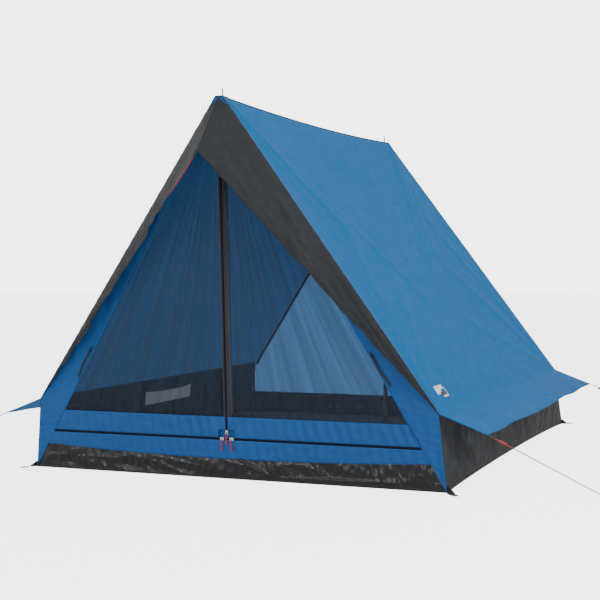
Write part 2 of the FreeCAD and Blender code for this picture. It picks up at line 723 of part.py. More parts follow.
def peg_eye(corner, side):
    """The loop that goes over the peg: a ring of the same cord, flat on the ground."""
    end = guyline_ends(corner, side)[1]
    reach = PEG_EYE_RADIUS + 2 * GUYLINE_RADIUS + SEAM
    centre = Vector(end.x + side * reach, end.y, GUYLINE_RADIUS)
    return Part.makeTorus(PEG_EYE_RADIUS, GUYLINE_RADIUS, centre)


def tensioner(corner, side):
    """A small plastic runner on the guyline."""
    start, _, along = guyline_ends(corner, side)
    near = start + along * TENSIONER_OFFSET
    across = Vector(0, TENSIONER_WIDTH / 2, 0)
    normal = across.cross(along).normalize() * (TENSIONER_THICKNESS / 2)
    face = [near - across - normal, near + across - normal, near + across + normal, near - across + normal]
    block = panel(face, along * TENSIONER_LENGTH)
    hole = Part.makeCylinder(GUYLINE_RADIUS + TENSIONER_AIR, TENSIONER_LENGTH, near, along)
    long_edges = [e for e in block.Edges if abs(e.Length - TENSIONER_LENGTH) < SEAM]
    return block.makeFillet(TENSIONER_THICKNESS / 4, long_edges).cut(hole)


def hood_cord():
    """The canopy's cord: straight runs joined by arcs that touch them."""
    _, tip, low = hood_corners(-1)
    edge = low - tip
    points = [tip + edge * share + Vector(0, -ahead, -below) for share, ahead, below in HOOD_CORD_ROUTE]
    edges = []
    here = points[0]
    for before, corner, after in zip(points, points[1:], points[2:]):
        arrive = (corner - before).normalize()
        leave = (after - corner).normalize()
        turn = arrive.getAngle(leave)
        reach = CORD_CORNER_SHARE * min((corner - before).Length, (after - corner).Length)
        radius = reach / math.tan(turn / 2)
        print("canopy cord bend radius", round(radius, 1))
        start = corner - arrive * reach
        end = corner + leave * reach
        to_centre = (leave - arrive).normalize()
        sagitta = reach * math.tan(turn / 4)
        middle = (start + end) * 0.5 + to_centre * -sagitta
        edges.append(Part.LineSegment(here, start).toShape())
        edges.append(Part.Arc(start, middle, end).toShape())
        here = end
    edges.append(Part.LineSegment(here, points[-1]).toShape())
    path = Part.Wire(edges)
    section = Part.Wire(Part.makeCircle(HOOD_CORD_RADIUS, points[0], (points[1] - points[0]).normalize()))
    tube = path.makePipeShell([section], True, True)
    expected = math.pi * HOOD_CORD_RADIUS ** 2 * path.Length
    print("canopy cord length", round(path.Length, 1), "volume ratio", round(tube.Volume / expected, 4))
    return tube


# ---------------------------------------------------------------- small sewn pieces
def inner_pocket():
    """A flat empty pocket on the inside of the left wall."""
    top = POCKET_FOOT + POCKET_HEIGHT
    skin = FABRIC + SEAM
    outline = []
    for y, z in ((-1, POCKET_FOOT), (1, POCKET_FOOT), (1, top), (-1, top)):
        point = Vector(-wall_x(z), y * POCKET_LENGTH / 2, z)
        outline.append(point + wall_out(-1) * -skin)
    return panel(outline, wall_out(-1) * -POCKET_THICKNESS)


def roof_label():
    """A plain sewn patch low on the right slope, with nothing printed on it."""
    y_low = front_y(LABEL_FOOT) + LABEL_SET_BACK
    top = LABEL_FOOT + LABEL_HEIGHT * ROOF_FALL / math.hypot(ROOF_RUN, ROOF_FALL)
    outline = [
        Vector(roof_x(LABEL_FOOT), y_low, LABEL_FOOT),
        Vector(roof_x(LABEL_FOOT), y_low + LABEL_LENGTH, LABEL_FOOT),
        Vector(roof_x(top), y_low + LABEL_LENGTH, top),
        Vector(roof_x(top), y_low, top),
    ]
    return panel(outline, roof_out(1) * (FABRIC / 2))


def door_ties():
    """On each side, the toggle and the strap that hold a rolled door panel, on the front wall's strip."""
    pieces = []
    for side in SIDES.values():
        x = side * (door_edge_x(TOGGLE_HEIGHT) + 4 * TOGGLE_RADIUS)
        centre = on_front(x, TOGGLE_HEIGHT, TOGGLE_RADIUS + SEAM)
        slope = (on_front(side * door_edge_x(0), 0) - on_front(0, RIDGE_HEIGHT)).normalize()
        start = centre - slope * (TOGGLE_LENGTH / 2)
        pieces.append(Part.makeCylinder(TOGGLE_RADIUS, TOGGLE_LENGTH, start, slope))
        away = slope.cross(FRONT_OUT).normalize() * (TIE_WIDTH / 2)
        top = on_front(x, TOGGLE_HEIGHT, SEAM) + slope * TOGGLE_LENGTH
        end = top + slope * TIE_LENGTH
        pieces.append(panel([top - away, end - away, end + away, top + away], FRONT_OUT * FABRIC))
    return Part.makeCompound(pieces)


# ---------------------------------------------------------------- write every piece
export(floor_sheet(), "floor_sheet")
export(tub_front(), "tub_front")
export(tub_rear(), "tub_rear")
export(ridge_tape(), "ridge_tape")
export(Part.makeCompound([grommet(FRONT_GROMMET_Y), grommet(REAR_GROMMET_Y)]), "ridge_grommets")
export(front_peak(), "front_peak")
export(front_sill(), "front_sill")
export(front_edge_binding(), "front_edge_binding")
export(rear_wall(), "rear_wall")
export(sill_zip(), "sill_zip")
export(inner_pocket(), "inner_pocket")
export(roof_label(), "roof_label")
export(door_ties(), "door_ties")

for side_name, side in SIDES.items():
    export(side_wall(side), "side_wall_" + side_name)
    export(roof(side), "roof_" + side_name)
    export(eave(side), "eave_" + side_name)
    export(hood(side), "hood_" + side_name)
    export(front_panel(side), "front_panel_" + side_name)
    export(sided(side, door_mesh()), "door_" + side_name + "_mesh")
    export(sided(side, door_band()), "door_" + side_name + "_band")
    export(sided(side, door_zip_side()), "door_" + side_name + "_zip_side")
    export(sided(side, door_zip_bottom()), "door_" + side_name + "_zip_bottom")
    slider_x = side * SILL_SLIDER_OFFSET
    export(slider(slider_x, SILL_ZIP_HEIGHT, False), "sill_zip_slider_" + side_name)
    export(pull(slider_x, SILL_ZIP_HEIGHT), "sill_zip_pull_" + side_name)

export(slider(0, DOOR_SLIDER_Z, True), "door_zip_slider")
export(pull(0, DOOR_SLIDER_Z), "door_zip_pull")

poles()

export(Part.makeCompound([peg_loop(c, out) for c, out in peg_loop_frames()]), "corner_loops")
export(Part.makeCompound([eyelet(c, out) for c, out in peg_loop_frames()]), "corner_eyelets")
tabs = [eave_tab(corner, side) for _, corner, side in eave_corners()]
export(Part.makeCompound(tabs + [hood_tab()]), "pull_out_tabs")
export(Part.makeCompound([peg_eye(corner, side) for _, corner, side in eave_corners()]), "peg_eyes")
for name, corner, side in eave_corners():
    export(guyline(corner, side), "guyline_" + name)
    export(tensioner(corner, side), "tensioner_" + name)
export(hood_cord(), "hood_cord")
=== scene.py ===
"""A small ridge tent on two upright poles, dressed around its measured frame. Lengths are in metres."""
import bpy
import math
from mathutils import Matrix, Vector, noise


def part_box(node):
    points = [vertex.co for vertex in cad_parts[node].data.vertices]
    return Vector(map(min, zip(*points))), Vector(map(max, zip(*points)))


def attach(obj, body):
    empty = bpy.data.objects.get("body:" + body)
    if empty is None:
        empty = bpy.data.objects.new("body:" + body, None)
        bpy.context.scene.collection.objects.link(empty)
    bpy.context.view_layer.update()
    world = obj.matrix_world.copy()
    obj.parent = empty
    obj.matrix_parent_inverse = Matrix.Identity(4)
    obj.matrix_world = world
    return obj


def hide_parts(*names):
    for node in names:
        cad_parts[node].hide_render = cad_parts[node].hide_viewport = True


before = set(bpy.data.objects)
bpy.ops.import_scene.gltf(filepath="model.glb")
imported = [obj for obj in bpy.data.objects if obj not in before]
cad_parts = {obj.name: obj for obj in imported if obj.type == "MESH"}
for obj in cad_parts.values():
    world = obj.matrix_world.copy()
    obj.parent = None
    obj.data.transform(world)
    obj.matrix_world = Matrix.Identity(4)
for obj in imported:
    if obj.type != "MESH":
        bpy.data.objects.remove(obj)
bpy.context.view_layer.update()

# ------------------------------------------------------------------ camera
# A long lens at sitting height, a little to the right of the door.
camera_data = bpy.data.cameras.new("camera")
camera = bpy.data.objects.new("camera", camera_data)
bpy.context.scene.collection.objects.link(camera)
bpy.context.scene.camera = camera
camera_data.sensor_width = 36
camera_data.lens = 75.07
camera_data.clip_end = 60
turn = Matrix.Rotation(math.radians(22.68), 3, "Z")
tilt = Matrix.Rotation(math.radians(90 - 1.41), 3, "X")
roll = Matrix.Rotation(math.radians(-0.35), 3, "Z")
camera.rotation_euler = (turn @ tilt @ roll).to_euler()
camera.location = (1.8755, -4.7892, 0.7158)

# ------------------------------------------------------------------ guylines
# A red braided cord runs straight from each eave corner to its peg, whose loop of the same cord
# ends it. It is 3 mm thick, and knotted to the loop.
guyline_radius = 0.0015
eave_tab_end_x = 0.92968
eave_tab_end_z = 0.18215
peg_knot_x = 1.30899
guyline_y = {"front": -0.95269, "rear": 0.90423}
peg_eye_radius = 0.011
peg_knot_radius = 0.0032
peg_knot_height = 0.0034
straight_lead = 0.02      # the line leaves its tab and meets its knot straight


def braided_cord(name, colour, pitch):
    """A shiny braid: two sets of slanting strands shown by bump, with painted shade that darkens the colour
    in the grooves between the strands.
    """
    material = bpy.data.materials.new(name)
    material.use_nodes = True
    nodes = material.node_tree.nodes
    links = material.node_tree.links
    shader = nodes["Principled BSDF"]
    shader.inputs["Roughness"].default_value = 0.5
    shader.inputs["Sheen Weight"].default_value = 0.2
    place = nodes.new("ShaderNodeTexCoord")
    strands = nodes.new("ShaderNodeTexWave")
    strands.bands_direction = "DIAGONAL"
    strands.inputs["Scale"].default_value = 1 / pitch
    strands.inputs["Distortion"].default_value = 0.4
    links.new(place.outputs["Object"], strands.inputs["Vector"])
    # Painted shade: the colour falls to 0.6 where the strand wave, and so the bump, is low.
    shade = nodes.new("ShaderNodeMix")
    shade.data_type = "RGBA"
    shade.inputs["A"].default_value = [c * 0.6 for c in colour[:3]] + [1]
    shade.inputs["B"].default_value = colour
    links.new(strands.outputs["Fac"], shade.inputs["Factor"])
    links.new(shade.outputs["Result"], shader.inputs["Base Color"])
    bump = nodes.new("ShaderNodeBump")
    bump.inputs["Distance"].default_value = 0.0004
    bump.inputs["Strength"].default_value = 0.5
    links.new(strands.outputs["Fac"], bump.inputs["Height"])
    links.new(bump.outputs["Normal"], shader.inputs["Normal"])
    return material


red_cord = braided_cord("red_cord", (0.36, 0.012, 0.014, 1), 0.006)


def spline_cord(name, points, radius, material):
    """A round cord along one smooth line that starts and ends on its first and last point."""
    curve = bpy.data.curves.new(name, "CURVE")
    curve.dimensions = "3D"
    curve.bevel_depth = radius
    curve.bevel_resolution = 3
    curve.use_fill_caps = True
    spline = curve.splines.new("NURBS")
    spline.points.add(len(points) - 1)
    for knot, point in zip(spline.points, points):
        knot.co = (*point, 1)
    spline.order_u = 3
    spline.use_endpoint_u = True
    spline.resolution_u = 8
    curve.materials.append(material)
    cord = bpy.data.objects.new(name, curve)
    bpy.context.scene.collection.objects.link(cord)
    return cord


def deselect():
    if bpy.context.object and bpy.context.object.mode != "OBJECT":
        bpy.ops.object.mode_set(mode="OBJECT")
    bpy.ops.object.select_all(action="DESELECT")


def settle(piece):
    """Leaves a piece at the origin, unturned and unscaled, with its place in its mesh."""
    deselect()
    piece.select_set(True)
    bpy.context.view_layer.objects.active = piece
    bpy.ops.object.transform_apply(location=True, rotation=True, scale=True)


for end, y in guyline_y.items():
    for side_name, side in (("left", -1), ("right", 1)):
        corner = end + "_" + side_name
        start = Vector((side * eave_tab_end_x, y, eave_tab_end_z))
        finish = Vector((side * peg_knot_x, y, guyline_radius))
        along = (finish - start).normalized()
        near_tab = start + along * straight_lead
        near_knot = finish - along * straight_lead
        line = spline_cord("line_" + corner, [start, near_tab, near_knot, finish], guyline_radius,
                           red_cord)

        eye_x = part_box("peg_eyes")[1].x - peg_eye_radius - guyline_radius
        deselect()
        bpy.ops.mesh.primitive_torus_add(
            major_segments=40, minor_segments=10, major_radius=peg_eye_radius, minor_radius=guyline_radius,
            location=(side * eye_x, y, guyline_radius))
        eye = bpy.context.object
        eye.name = "peg_eye_" + corner
        eye.scale = (1.0, 0.86, 1.0)
        settle(eye)
        eye.data.materials.append(red_cord)
        bpy.ops.object.shade_smooth()

        deselect()
        bpy.ops.mesh.primitive_uv_sphere_add(segments=16, ring_count=10, radius=peg_knot_radius,
                                             location=(side * (peg_knot_x + 0.0005), y, peg_knot_height))
        knot = bpy.context.object
        knot.name = "peg_knot_" + corner
        settle(knot)
        for vertex in knot.data.vertices:
            turn_at = math.atan2(vertex.co.z - peg_knot_height, vertex.co.y - y)
            swirl = math.sin(5 * turn_at + 900 * vertex.co.x)
            vertex.co += (vertex.co - Vector((side * peg_knot_x, y, peg_knot_height))) * 0.12 * swirl
            vertex.co.z = max(vertex.co.z, 0.0002)
        knot.data.materials.append(red_cord)
        bpy.ops.object.shade_smooth()

        for piece in (line, eye, knot):
            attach(piece, "tent")
        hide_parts("guyline_" + corner)
        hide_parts("peg_eyes")

# ------------------------------------------------------------------ canopy cord
# A short red cord is tied in the tab at the canopy's tip and caught again on the left free edge.
# It is 4 mm thick and hangs in a slight bow.
canopy_peak = Vector((0, -1.0, 1.2976))
canopy_tip = Vector((-0.0003, -1.165, 1.103))
canopy_low = Vector((-0.7486, -0.96038, 0.2544))
# How far along the free edge each point of the cord is, and how far ahead of it and below it.
canopy_cord_route = [(0.012, 0.009, 0.012), (0.050, 0.013, 0.018),
                     (0.100, 0.013, 0.017), (0.152, 0.007, 0.008)]
route = [canopy_tip + (canopy_low - canopy_tip) * share + Vector((0, -ahead, -below))
         for share, ahead, below in canopy_cord_route]
canopy_cord = spline_cord("canopy_cord", route, 0.002, red_cord)
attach(canopy_cord, "tent")
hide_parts("hood_cord")

# ------------------------------------------------------------------ floor and light
# A pale studio floor that runs out of sight, a wide soft key from the right, a small low light that
# glints on the tub, and a weak fill. The floor and the backdrop look white but light the tent less.
bpy.ops.object.select_all(action="DESELECT")
bpy.ops.mesh.primitive_plane_add(size=60, location=(0, 0, -0.0005))
studio_floor = bpy.context.object
studio_floor.name = "studio_floor"
floor_material = bpy.data.materials.new("studio_floor")
floor_material.use_nodes = True
floor_shader = floor_material.node_tree.nodes["Principled BSDF"]
floor_shader.inputs["Base Color"].default_value = (0.45, 0.45, 0.45, 1)
floor_shader.inputs["Roughness"].default_value = 0.9
floor_shader.inputs["Emission Color"].default_value = (0.97, 0.985, 1.0, 1)
floor_seen = floor_material.node_tree.nodes.new("ShaderNodeLightPath")
floor_level = floor_material.node_tree.nodes.new("ShaderNodeMapRange")
floor_level.inputs["To Min"].default_value = 0.25
floor_level.inputs["To Max"].default_value = 3.6
floor_material.node_tree.links.new(floor_seen.outputs["Is Camera Ray"], floor_level.inputs["Value"])
floor_material.node_tree.links.new(floor_level.outputs["Result"],
                                   floor_shader.inputs["Emission Strength"])
studio_floor.data.materials.append(floor_material)

world = bpy.data.worlds.new("studio")
bpy.context.scene.world = world
world.use_nodes = True
backdrop = world.node_tree.nodes["Background"]
backdrop.inputs["Color"].default_value = (0.97, 0.985, 1.0, 1)
seen = world.node_tree.nodes.new("ShaderNodeLightPath")
backdrop_level = world.node_tree.nodes.new("ShaderNodeMapRange")
backdrop_level.inputs["To Min"].default_value = 0.95
backdrop_level.inputs["To Max"].default_value = 4.5
world.node_tree.links.new(seen.outputs["Is Camera Ray"], backdrop_level.inputs["Value"])
world.node_tree.links.new(backdrop_level.outputs["Result"], backdrop.inputs["Strength"])


def soft_light(name, size, energy, location, aim):
    light = bpy.data.lights.new(name, "AREA")
    light.shape = "SQUARE"
    light.size = size
    light.energy = energy
    lamp = bpy.data.objects.new(name, light)
    lamp.location = location
    lamp.rotation_euler = (Vector(aim) - Vector(location)).to_track_quat("-Z", "Y").to_euler()
    bpy.context.scene.collection.objects.link(lamp)


soft_light("key", 3.0, 230, (4.5, -3.0, 4.2), (0.3, 0, 0.5))
soft_light("glint", 0.4, 50, (-0.6, -6.8, 1.3), (0.2, -0.95, 0.05))
soft_light("fill", 3.5, 50, (-3.5, -5.0, 2.6), (0, -0.5, 0.5))

# ------------------------------------------------------------------ roof
# The roof and its two loose eave flaps are one blue polyester sheet over the ridge, proofed on the
# inside. It sags between the poles, and pulls in long soft creases towards its pegged corners.
half_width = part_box("floor_sheet")[1].x
half_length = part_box("floor_sheet")[1].y
ridge_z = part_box("ridge_tape")[1].z
ridge_front_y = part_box("ridge_tape")[0].y
ridge_rear_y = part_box("ridge_tape")[1].y
ridge_half = 0.012
wall_top_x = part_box("roof_right")[1].x
wall_top_z = 0.252
eave_rim_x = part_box("eave_right")[1].x
eave_rim_z = 0.192
ridge_sag = 0.016


def front_y(z):
    """The front wall leans forward to the ridge's end."""
    return -half_length + (ridge_front_y + half_length) * z / ridge_z


def rear_y(z):
    """The back wall leans in to the ridge's end."""
    return half_length + (ridge_rear_y - half_length) * z / ridge_z


def wall_x(z):
    return half_width + (wall_top_x - half_width) * z / wall_top_z


def roof_x(z):
    return ridge_half + (wall_top_x - ridge_half) * (ridge_z - z) / (ridge_z - wall_top_z)


def bow(share):
    """A shallow curve that is 0 at both ends and 1 in the middle."""
    return 4 * share * (1 - share)


def cloth(name, columns, rows, place, size, thickness=0.0007):
    """A sheet of cloth. place(across, along) says where each corner of its grid goes. Its UV map is
    in metres of flat cloth, so that a weave has its real size."""
    deselect()
    bpy.ops.mesh.primitive_grid_add(x_subdivisions=columns, y_subdivisions=rows, size=1)
    piece = bpy.context.object
    piece.name = name
    for vertex in piece.data.vertices:
        vertex.co = place(vertex.co.x + 0.5, vertex.co.y + 0.5)
    for corner in piece.data.uv_layers.active.data:
        corner.uv = (corner.uv.x * size[0], corner.uv.y * size[1])
    bpy.ops.object.mode_set(mode="EDIT")
    bpy.ops.mesh.select_all(action="SELECT")
    bpy.ops.mesh.remove_doubles(threshold=0.00005)
    bpy.ops.object.mode_set(mode="OBJECT")
    bpy.ops.object.shade_smooth()
    skin = piece.modifiers.new("skin", "SOLIDIFY")
    skin.thickness = thickness
    skin.offset = 0
    bpy.ops.object.modifier_apply(modifier="skin")
    return piece


def new_group(name, inputs, outputs):
    group = bpy.data.node_groups.new(name, "ShaderNodeTree")
    for socket, kind, value in inputs:
        made = group.interface.new_socket(name=socket, in_out="INPUT", socket_type=kind)
        made.default_value = value
    for socket, kind in outputs:
        group.interface.new_socket(name=socket, in_out="OUTPUT", socket_type=kind)
    return group, group.nodes.new("NodeGroupInput"), group.nodes.new("NodeGroupOutput")


# The look that every sewn fabric here shares: a plain weave of fine threads, faint creases from being folded
# in its bag, a colour that is not quite even, and painted shade that darkens the gaps between the threads.
woven, inlet, outlet = new_group(
    "woven_fabric",
    [("Colour", "NodeSocketColor", (0.5, 0.5, 0.5, 1)), ("Thread", "NodeSocketFloat", 0.0012),
     ("Unevenness", "NodeSocketFloat", 0.1), ("Creases", "NodeSocketFloat", 0.5),
     ("Roughness", "NodeSocketFloat", 0.6)],
    [("Colour", "NodeSocketColor"), ("Height", "NodeSocketFloat"), ("Roughness", "NodeSocketFloat")])


def node(tree, kind, **settings):
    made = tree.nodes.new(kind)
    for key, value in settings.items():
        if key in made.inputs:
            made.inputs[key].default_value = value
        else:
            setattr(made, key, value)
    return made


def maths(tree, operation, first, second):
    made = tree.nodes.new("ShaderNodeMath")
    made.operation = operation
    for socket, value in zip(made.inputs, (first, second)):
        if isinstance(value, (int, float)):
            socket.default_value = value
        else:
            tree.links.new(value, socket)
    return made.outputs[0]


where = woven.nodes.new("ShaderNodeTexCoord")
per_metre = maths(woven, "DIVIDE", 0.5, inlet.outputs["Thread"])
threads = []
for direction in ("X", "Y"):
    wave = node(woven, "ShaderNodeTexWave", bands_direction=direction)
    wave.inputs["Distortion"].default_value = 0.3
    woven.links.new(where.outputs["UV"], wave.inputs["Vector"])
    woven.links.new(per_metre, wave.inputs["Scale"])
    threads.append(wave.outputs["Fac"])
weave = maths(woven, "MULTIPLY", threads[0], threads[1])
patches = woven.nodes.new("ShaderNodeTexNoise")
patches.inputs["Scale"].default_value = 3.5
patches.inputs["Detail"].default_value = 3
woven.links.new(where.outputs["Object"], patches.inputs["Vector"])
crumple = woven.nodes.new("ShaderNodeTexNoise")
crumple.inputs["Scale"].default_value = 26
crumple.inputs["Detail"].default_value = 5
crumple.inputs["Distortion"].default_value = 0.8
woven.links.new(where.outputs["Object"], crumple.inputs["Vector"])
patch_shift = maths(woven, "SUBTRACT", patches.outputs["Fac"], 0.5)
patch_shift = maths(woven, "MULTIPLY", patch_shift, inlet.outputs["Unevenness"])
patch_shift = maths(woven, "MULTIPLY", patch_shift, 2)
# Painted shade: the colour darkens where the weave, and so the bump, is low, between the threads.
thread_gap_shade = maths(woven, "MULTIPLY", maths(woven, "SUBTRACT", weave, 0.3), 0.12)
tone_and_thread_shade = maths(woven, "ADD", 1.0, maths(woven, "ADD", patch_shift, thread_gap_shade))
tint = woven.nodes.new("ShaderNodeHueSaturation")
woven.links.new(inlet.outputs["Colour"], tint.inputs["Color"])
woven.links.new(tone_and_thread_shade, tint.inputs["Value"])
woven.links.new(tint.outputs["Color"], outlet.inputs["Colour"])
weave_height = maths(woven, "MULTIPLY", weave, 0.12)
crease_height = maths(woven, "MULTIPLY", crumple.outputs["Fac"], inlet.outputs["Creases"])
woven.links.new(maths(woven, "ADD", weave_height, crease_height), outlet.inputs["Height"])
rough_shift = maths(woven, "MULTIPLY", maths(woven, "SUBTRACT", crumple.outputs["Fac"], 0.5), 0.25)
woven.links.new(maths(woven, "ADD", inlet.outputs["Roughness"], rough_shift), outlet.inputs["Roughness"])


# Two rows of dashed stitches and the step of the turned edge beside them, for a cloth whose UV map
# is in metres: how wide and long it is, and how deep its hems are.
stitched, hem_in, hem_out = new_group(
    "stitched_hem",
    [("Width", "NodeSocketFloat", 1.0), ("Length", "NodeSocketFloat", 1.0),
     ("Side hem", "NodeSocketFloat", 0.0), ("End hem", "NodeSocketFloat", 0.0)],
    [("Stitch", "NodeSocketFloat"), ("Fold", "NodeSocketFloat")])
hem_where = stitched.nodes.new("ShaderNodeTexCoord")
hem_split = stitched.nodes.new("ShaderNodeSeparateXYZ")
stitched.links.new(hem_where.outputs["UV"], hem_split.inputs["Vector"])
hem_marks = []
hem_folds = []
for axis, other, extent, depth_name in (("X", "Y", "Width", "Side hem"), ("Y", "X", "Length", "End hem")):
    far = maths(stitched, "SUBTRACT", hem_in.outputs[extent], hem_split.outputs[axis])
    inset = maths(stitched, "MINIMUM", hem_split.outputs[axis], far)
    hem_folds.append(maths(stitched, "LESS_THAN", inset, hem_in.outputs[depth_name]))
    seam_line = maths(stitched, "MULTIPLY", hem_in.outputs[depth_name], 0.78)
    off_line = maths(stitched, "ABSOLUTE", maths(stitched, "SUBTRACT", inset, seam_line), 0)
    on_line = maths(stitched, "LESS_THAN", off_line, 0.0005)
    dash = maths(stitched, "SINE", maths(stitched, "MULTIPLY", hem_split.outputs[other], 2094), 0)
    dashed = maths(stitched, "MULTIPLY", on_line, maths(stitched, "GREATER_THAN", dash, -0.4))
    has_hem = maths(stitched, "GREATER_THAN", hem_in.outputs[depth_name], 0.0001)
    hem_marks.append(maths(stitched, "MULTIPLY", dashed, has_hem))
stitched.links.new(maths(stitched, "MAXIMUM", hem_marks[0], hem_marks[1]), hem_out.inputs["Stitch"])
stitched.links.new(maths(stitched, "MAXIMUM", hem_folds[0], hem_folds[1]), hem_out.inputs["Fold"])


def fabric(name, colour, thread=0.0012, unevenness=0.08, creases=0.5, roughness=0.6, sheen=0.15,
           depth=0.002, hem=None, painted_glow=None, specular=0.4):
    """A material of woven fabric. Its glow argument is painted light: an emission that stands in for the
    daylight a thin coloured cloth lets through. hem is the cloth's width and length and the depth of its
    side and end hems."""
    material = bpy.data.materials.new(name)
    material.use_nodes = True
    tree = material.node_tree
    shader = tree.nodes["Principled BSDF"]
    look = tree.nodes.new("ShaderNodeGroup")
    look.node_tree = woven
    look.inputs["Colour"].default_value = (*colour, 1)
    look.inputs["Thread"].default_value = thread
    look.inputs["Unevenness"].default_value = unevenness
    look.inputs["Creases"].default_value = creases
    look.inputs["Roughness"].default_value = roughness
    bump = tree.nodes.new("ShaderNodeBump")
    bump.inputs["Distance"].default_value = depth
    colour_out = look.outputs["Colour"]
    height_out = look.outputs["Height"]
    if hem:
        edge = tree.nodes.new("ShaderNodeGroup")
        edge.node_tree = stitched
        for socket, value in zip(edge.inputs, hem):
            socket.default_value = value
        thread_tone = tree.nodes.new("ShaderNodeMix")
        thread_tone.data_type = "RGBA"
        thread_tone.inputs["B"].default_value = [0.5 * c + 0.04 for c in colour] + [1]
        tree.links.new(edge.outputs["Stitch"], thread_tone.inputs["Factor"])
        tree.links.new(colour_out, thread_tone.inputs["A"])
        colour_out = thread_tone.outputs["Result"]
        step = maths(tree, "MULTIPLY", edge.outputs["Fold"], 0.3)
        dent = maths(tree, "MULTIPLY", edge.outputs["Stitch"], 0.2)
        height_out = maths(tree, "SUBTRACT", maths(tree, "ADD", height_out, step), dent)
    tree.links.new(colour_out, shader.inputs["Base Color"])
    tree.links.new(look.outputs["Roughness"], shader.inputs["Roughness"])
    tree.links.new(height_out, bump.inputs["Height"])
    tree.links.new(bump.outputs["Normal"], shader.inputs["Normal"])
    shader.inputs["Sheen Weight"].default_value = sheen
    shader.inputs["Sheen Roughness"].default_value = 0.4
    shader.inputs["Specular IOR Level"].default_value = specular
    # Painted light: a constant emission that stands in for daylight coming through thin cloth.
    if painted_glow:
        shader.inputs["Emission Color"].default_value = (*painted_glow, 1)
        shader.inputs["Emission Strength"].default_value = 1.0
    return material


# Painted light: both sides of the roof carry an emission that stands in for daylight through the cloth, and
# the inside is a lit copy of the blue with a far stronger one.
roof_blue = fabric("roof_blue", (0.0035, 0.105, 0.290), unevenness=0.05, creases=0.25, roughness=0.65,
                   sheen=0.03, painted_glow=(0.002, 0.020, 0.060), specular=0.12, hem=(2.92, 1.87, 0.012, 0.0))
roof_inside_painted_light = fabric("roof_inside_painted_light", (0.004, 0.090, 0.240), unevenness=0.05, creases=0.25, roughness=0.7,
                     sheen=0.0, painted_glow=(0.016, 0.075, 0.190), specular=0.12)


def give_inside_painted_light(piece, lit_inside):
    """Gives a wall's inner side a second, lit copy of its material, whose painted light stands in for
    daylight coming through the cloth.
    """
    piece.data.materials.append(lit_inside)
    cabin_middle = Vector((0, 0, 0.4))
    for polygon in piece.data.polygons:
        if polygon.normal.dot(polygon.center - cabin_middle) < 0:
            polygon.material_index = 1


def crease(point, start, end, width, height):
    """A long soft crease from start to end: how far it lifts the cloth at point."""
    line = end - start
    share = (point - start).dot(line) / line.length_squared
    if share < 0 or share > 1:
        return 0.0
    away = (point - start - line * share).length / (width * (0.35 + share))
    return 1.6 * height * math.exp(-away * away) * bow(min(share + 0.12, 1)) ** 0.5


eave_length = math.hypot(eave_rim_x - wall_top_x, wall_top_z - eave_rim_z)
slope_length = math.hypot(wall_top_x - ridge_half, ridge_z - wall_top_z)
half_girth = ridge_half + slope_length + eave_length
roof_creases = []
for side in (-1, 1):
    slope_out = Vector((side * (ridge_z - wall_top_z), 0, wall_top_x - ridge_half)).normalized()
    for end_y, inward in ((front_y(wall_top_z), 1), (rear_y(wall_top_z), -1)):
        corner = Vector((side * wall_top_x, end_y, wall_top_z))
        for reach_y, reach_z, width, height in ((0.42, 0.78, 0.030, 0.0032), (0.75, 0.62, 0.034, 0.0026),
                                               (1.10, 0.36, 0.030, 0.0024), (0.20, 0.60, 0.020, 0.0022)):
            z = wall_top_z + reach_z
            target = Vector((side * roof_x(z), end_y + inward * reach_y, z))
            roof_creases.append((side, corner, target, width, height))
    for end_y, inward in ((ridge_front_y, 1), (ridge_rear_y, -1)):
        peak = Vector((side * ridge_half, end_y, ridge_z))
        for reach_y, fall, width, height in ((0.55, 0.62, 0.034, 0.0035), (0.95, 0.86, 0.03, 0.0026),
                                             (0.28, 0.50, 0.022, 0.0022)):
            z = ridge_z - fall
            target = Vector((side * roof_x(z), end_y + inward * reach_y, z))
            roof_creases.append((side, peak, target, width, height))


roof_columns = 170


def roof_place(across, along):
    girth = (across - 0.5) * 2 * half_girth
    side = 1 if girth >= 0 else -1
    girth = abs(girth)
    if abs(girth - ridge_half - slope_length) <= half_girth / roof_columns:
        girth = ridge_half + slope_length
    if girth <= ridge_half + slope_length:
        share = max(girth - ridge_half, 0) / slope_length
        x = min(girth, ridge_half) + share * (wall_top_x - ridge_half)
        z = ridge_z - share * (ridge_z - wall_top_z)
        y = front_y(z) + along * (rear_y(z) - front_y(z))
        out = Vector((side * (ridge_z - wall_top_z), 0, wall_top_x - ridge_half)).normalized()
        point = Vector((side * x, y, z))
        lift = -0.009 * bow(share) * (0.35 + 0.65 * bow(along))
        for at_side, start, end, width, height in roof_creases:
            if at_side == side:
                lift += crease(point, start, end, width, height)
        flutter = noise.noise(Vector((y * 2.4, girth * 3.2, side * 3.0)))
        lift += 0.0035 * flutter * bow(share) ** 0.5 * bow(along) ** 0.5
        edge = min(bow(along) * 14, 1)
        point += out * lift * edge
        point.z -= ridge_sag * bow(along) * (1 - share) ** 1.5
        return point
    share = (girth - ridge_half - slope_length) / eave_length
    rim_pull = 0.014 * bow(along) * share
    x = wall_top_x + share * (eave_rim_x - wall_top_x) - rim_pull
    droop = 0.010 * bow(along) * share
    ripple = 0.004 * share * bow(along) ** 0.5
    ripple *= math.sin(along * 21 + side * 1.3 + 2 * math.sin(along * 7))
    z = wall_top_z + share * (eave_rim_z - wall_top_z) - droop + ripple
    low_y = front_y(wall_top_z) + 0.004 * bow(share)
    high_y = rear_y(wall_top_z) - 0.004 * bow(share)
    return Vector((side * x, low_y + along * (high_y - low_y), z))


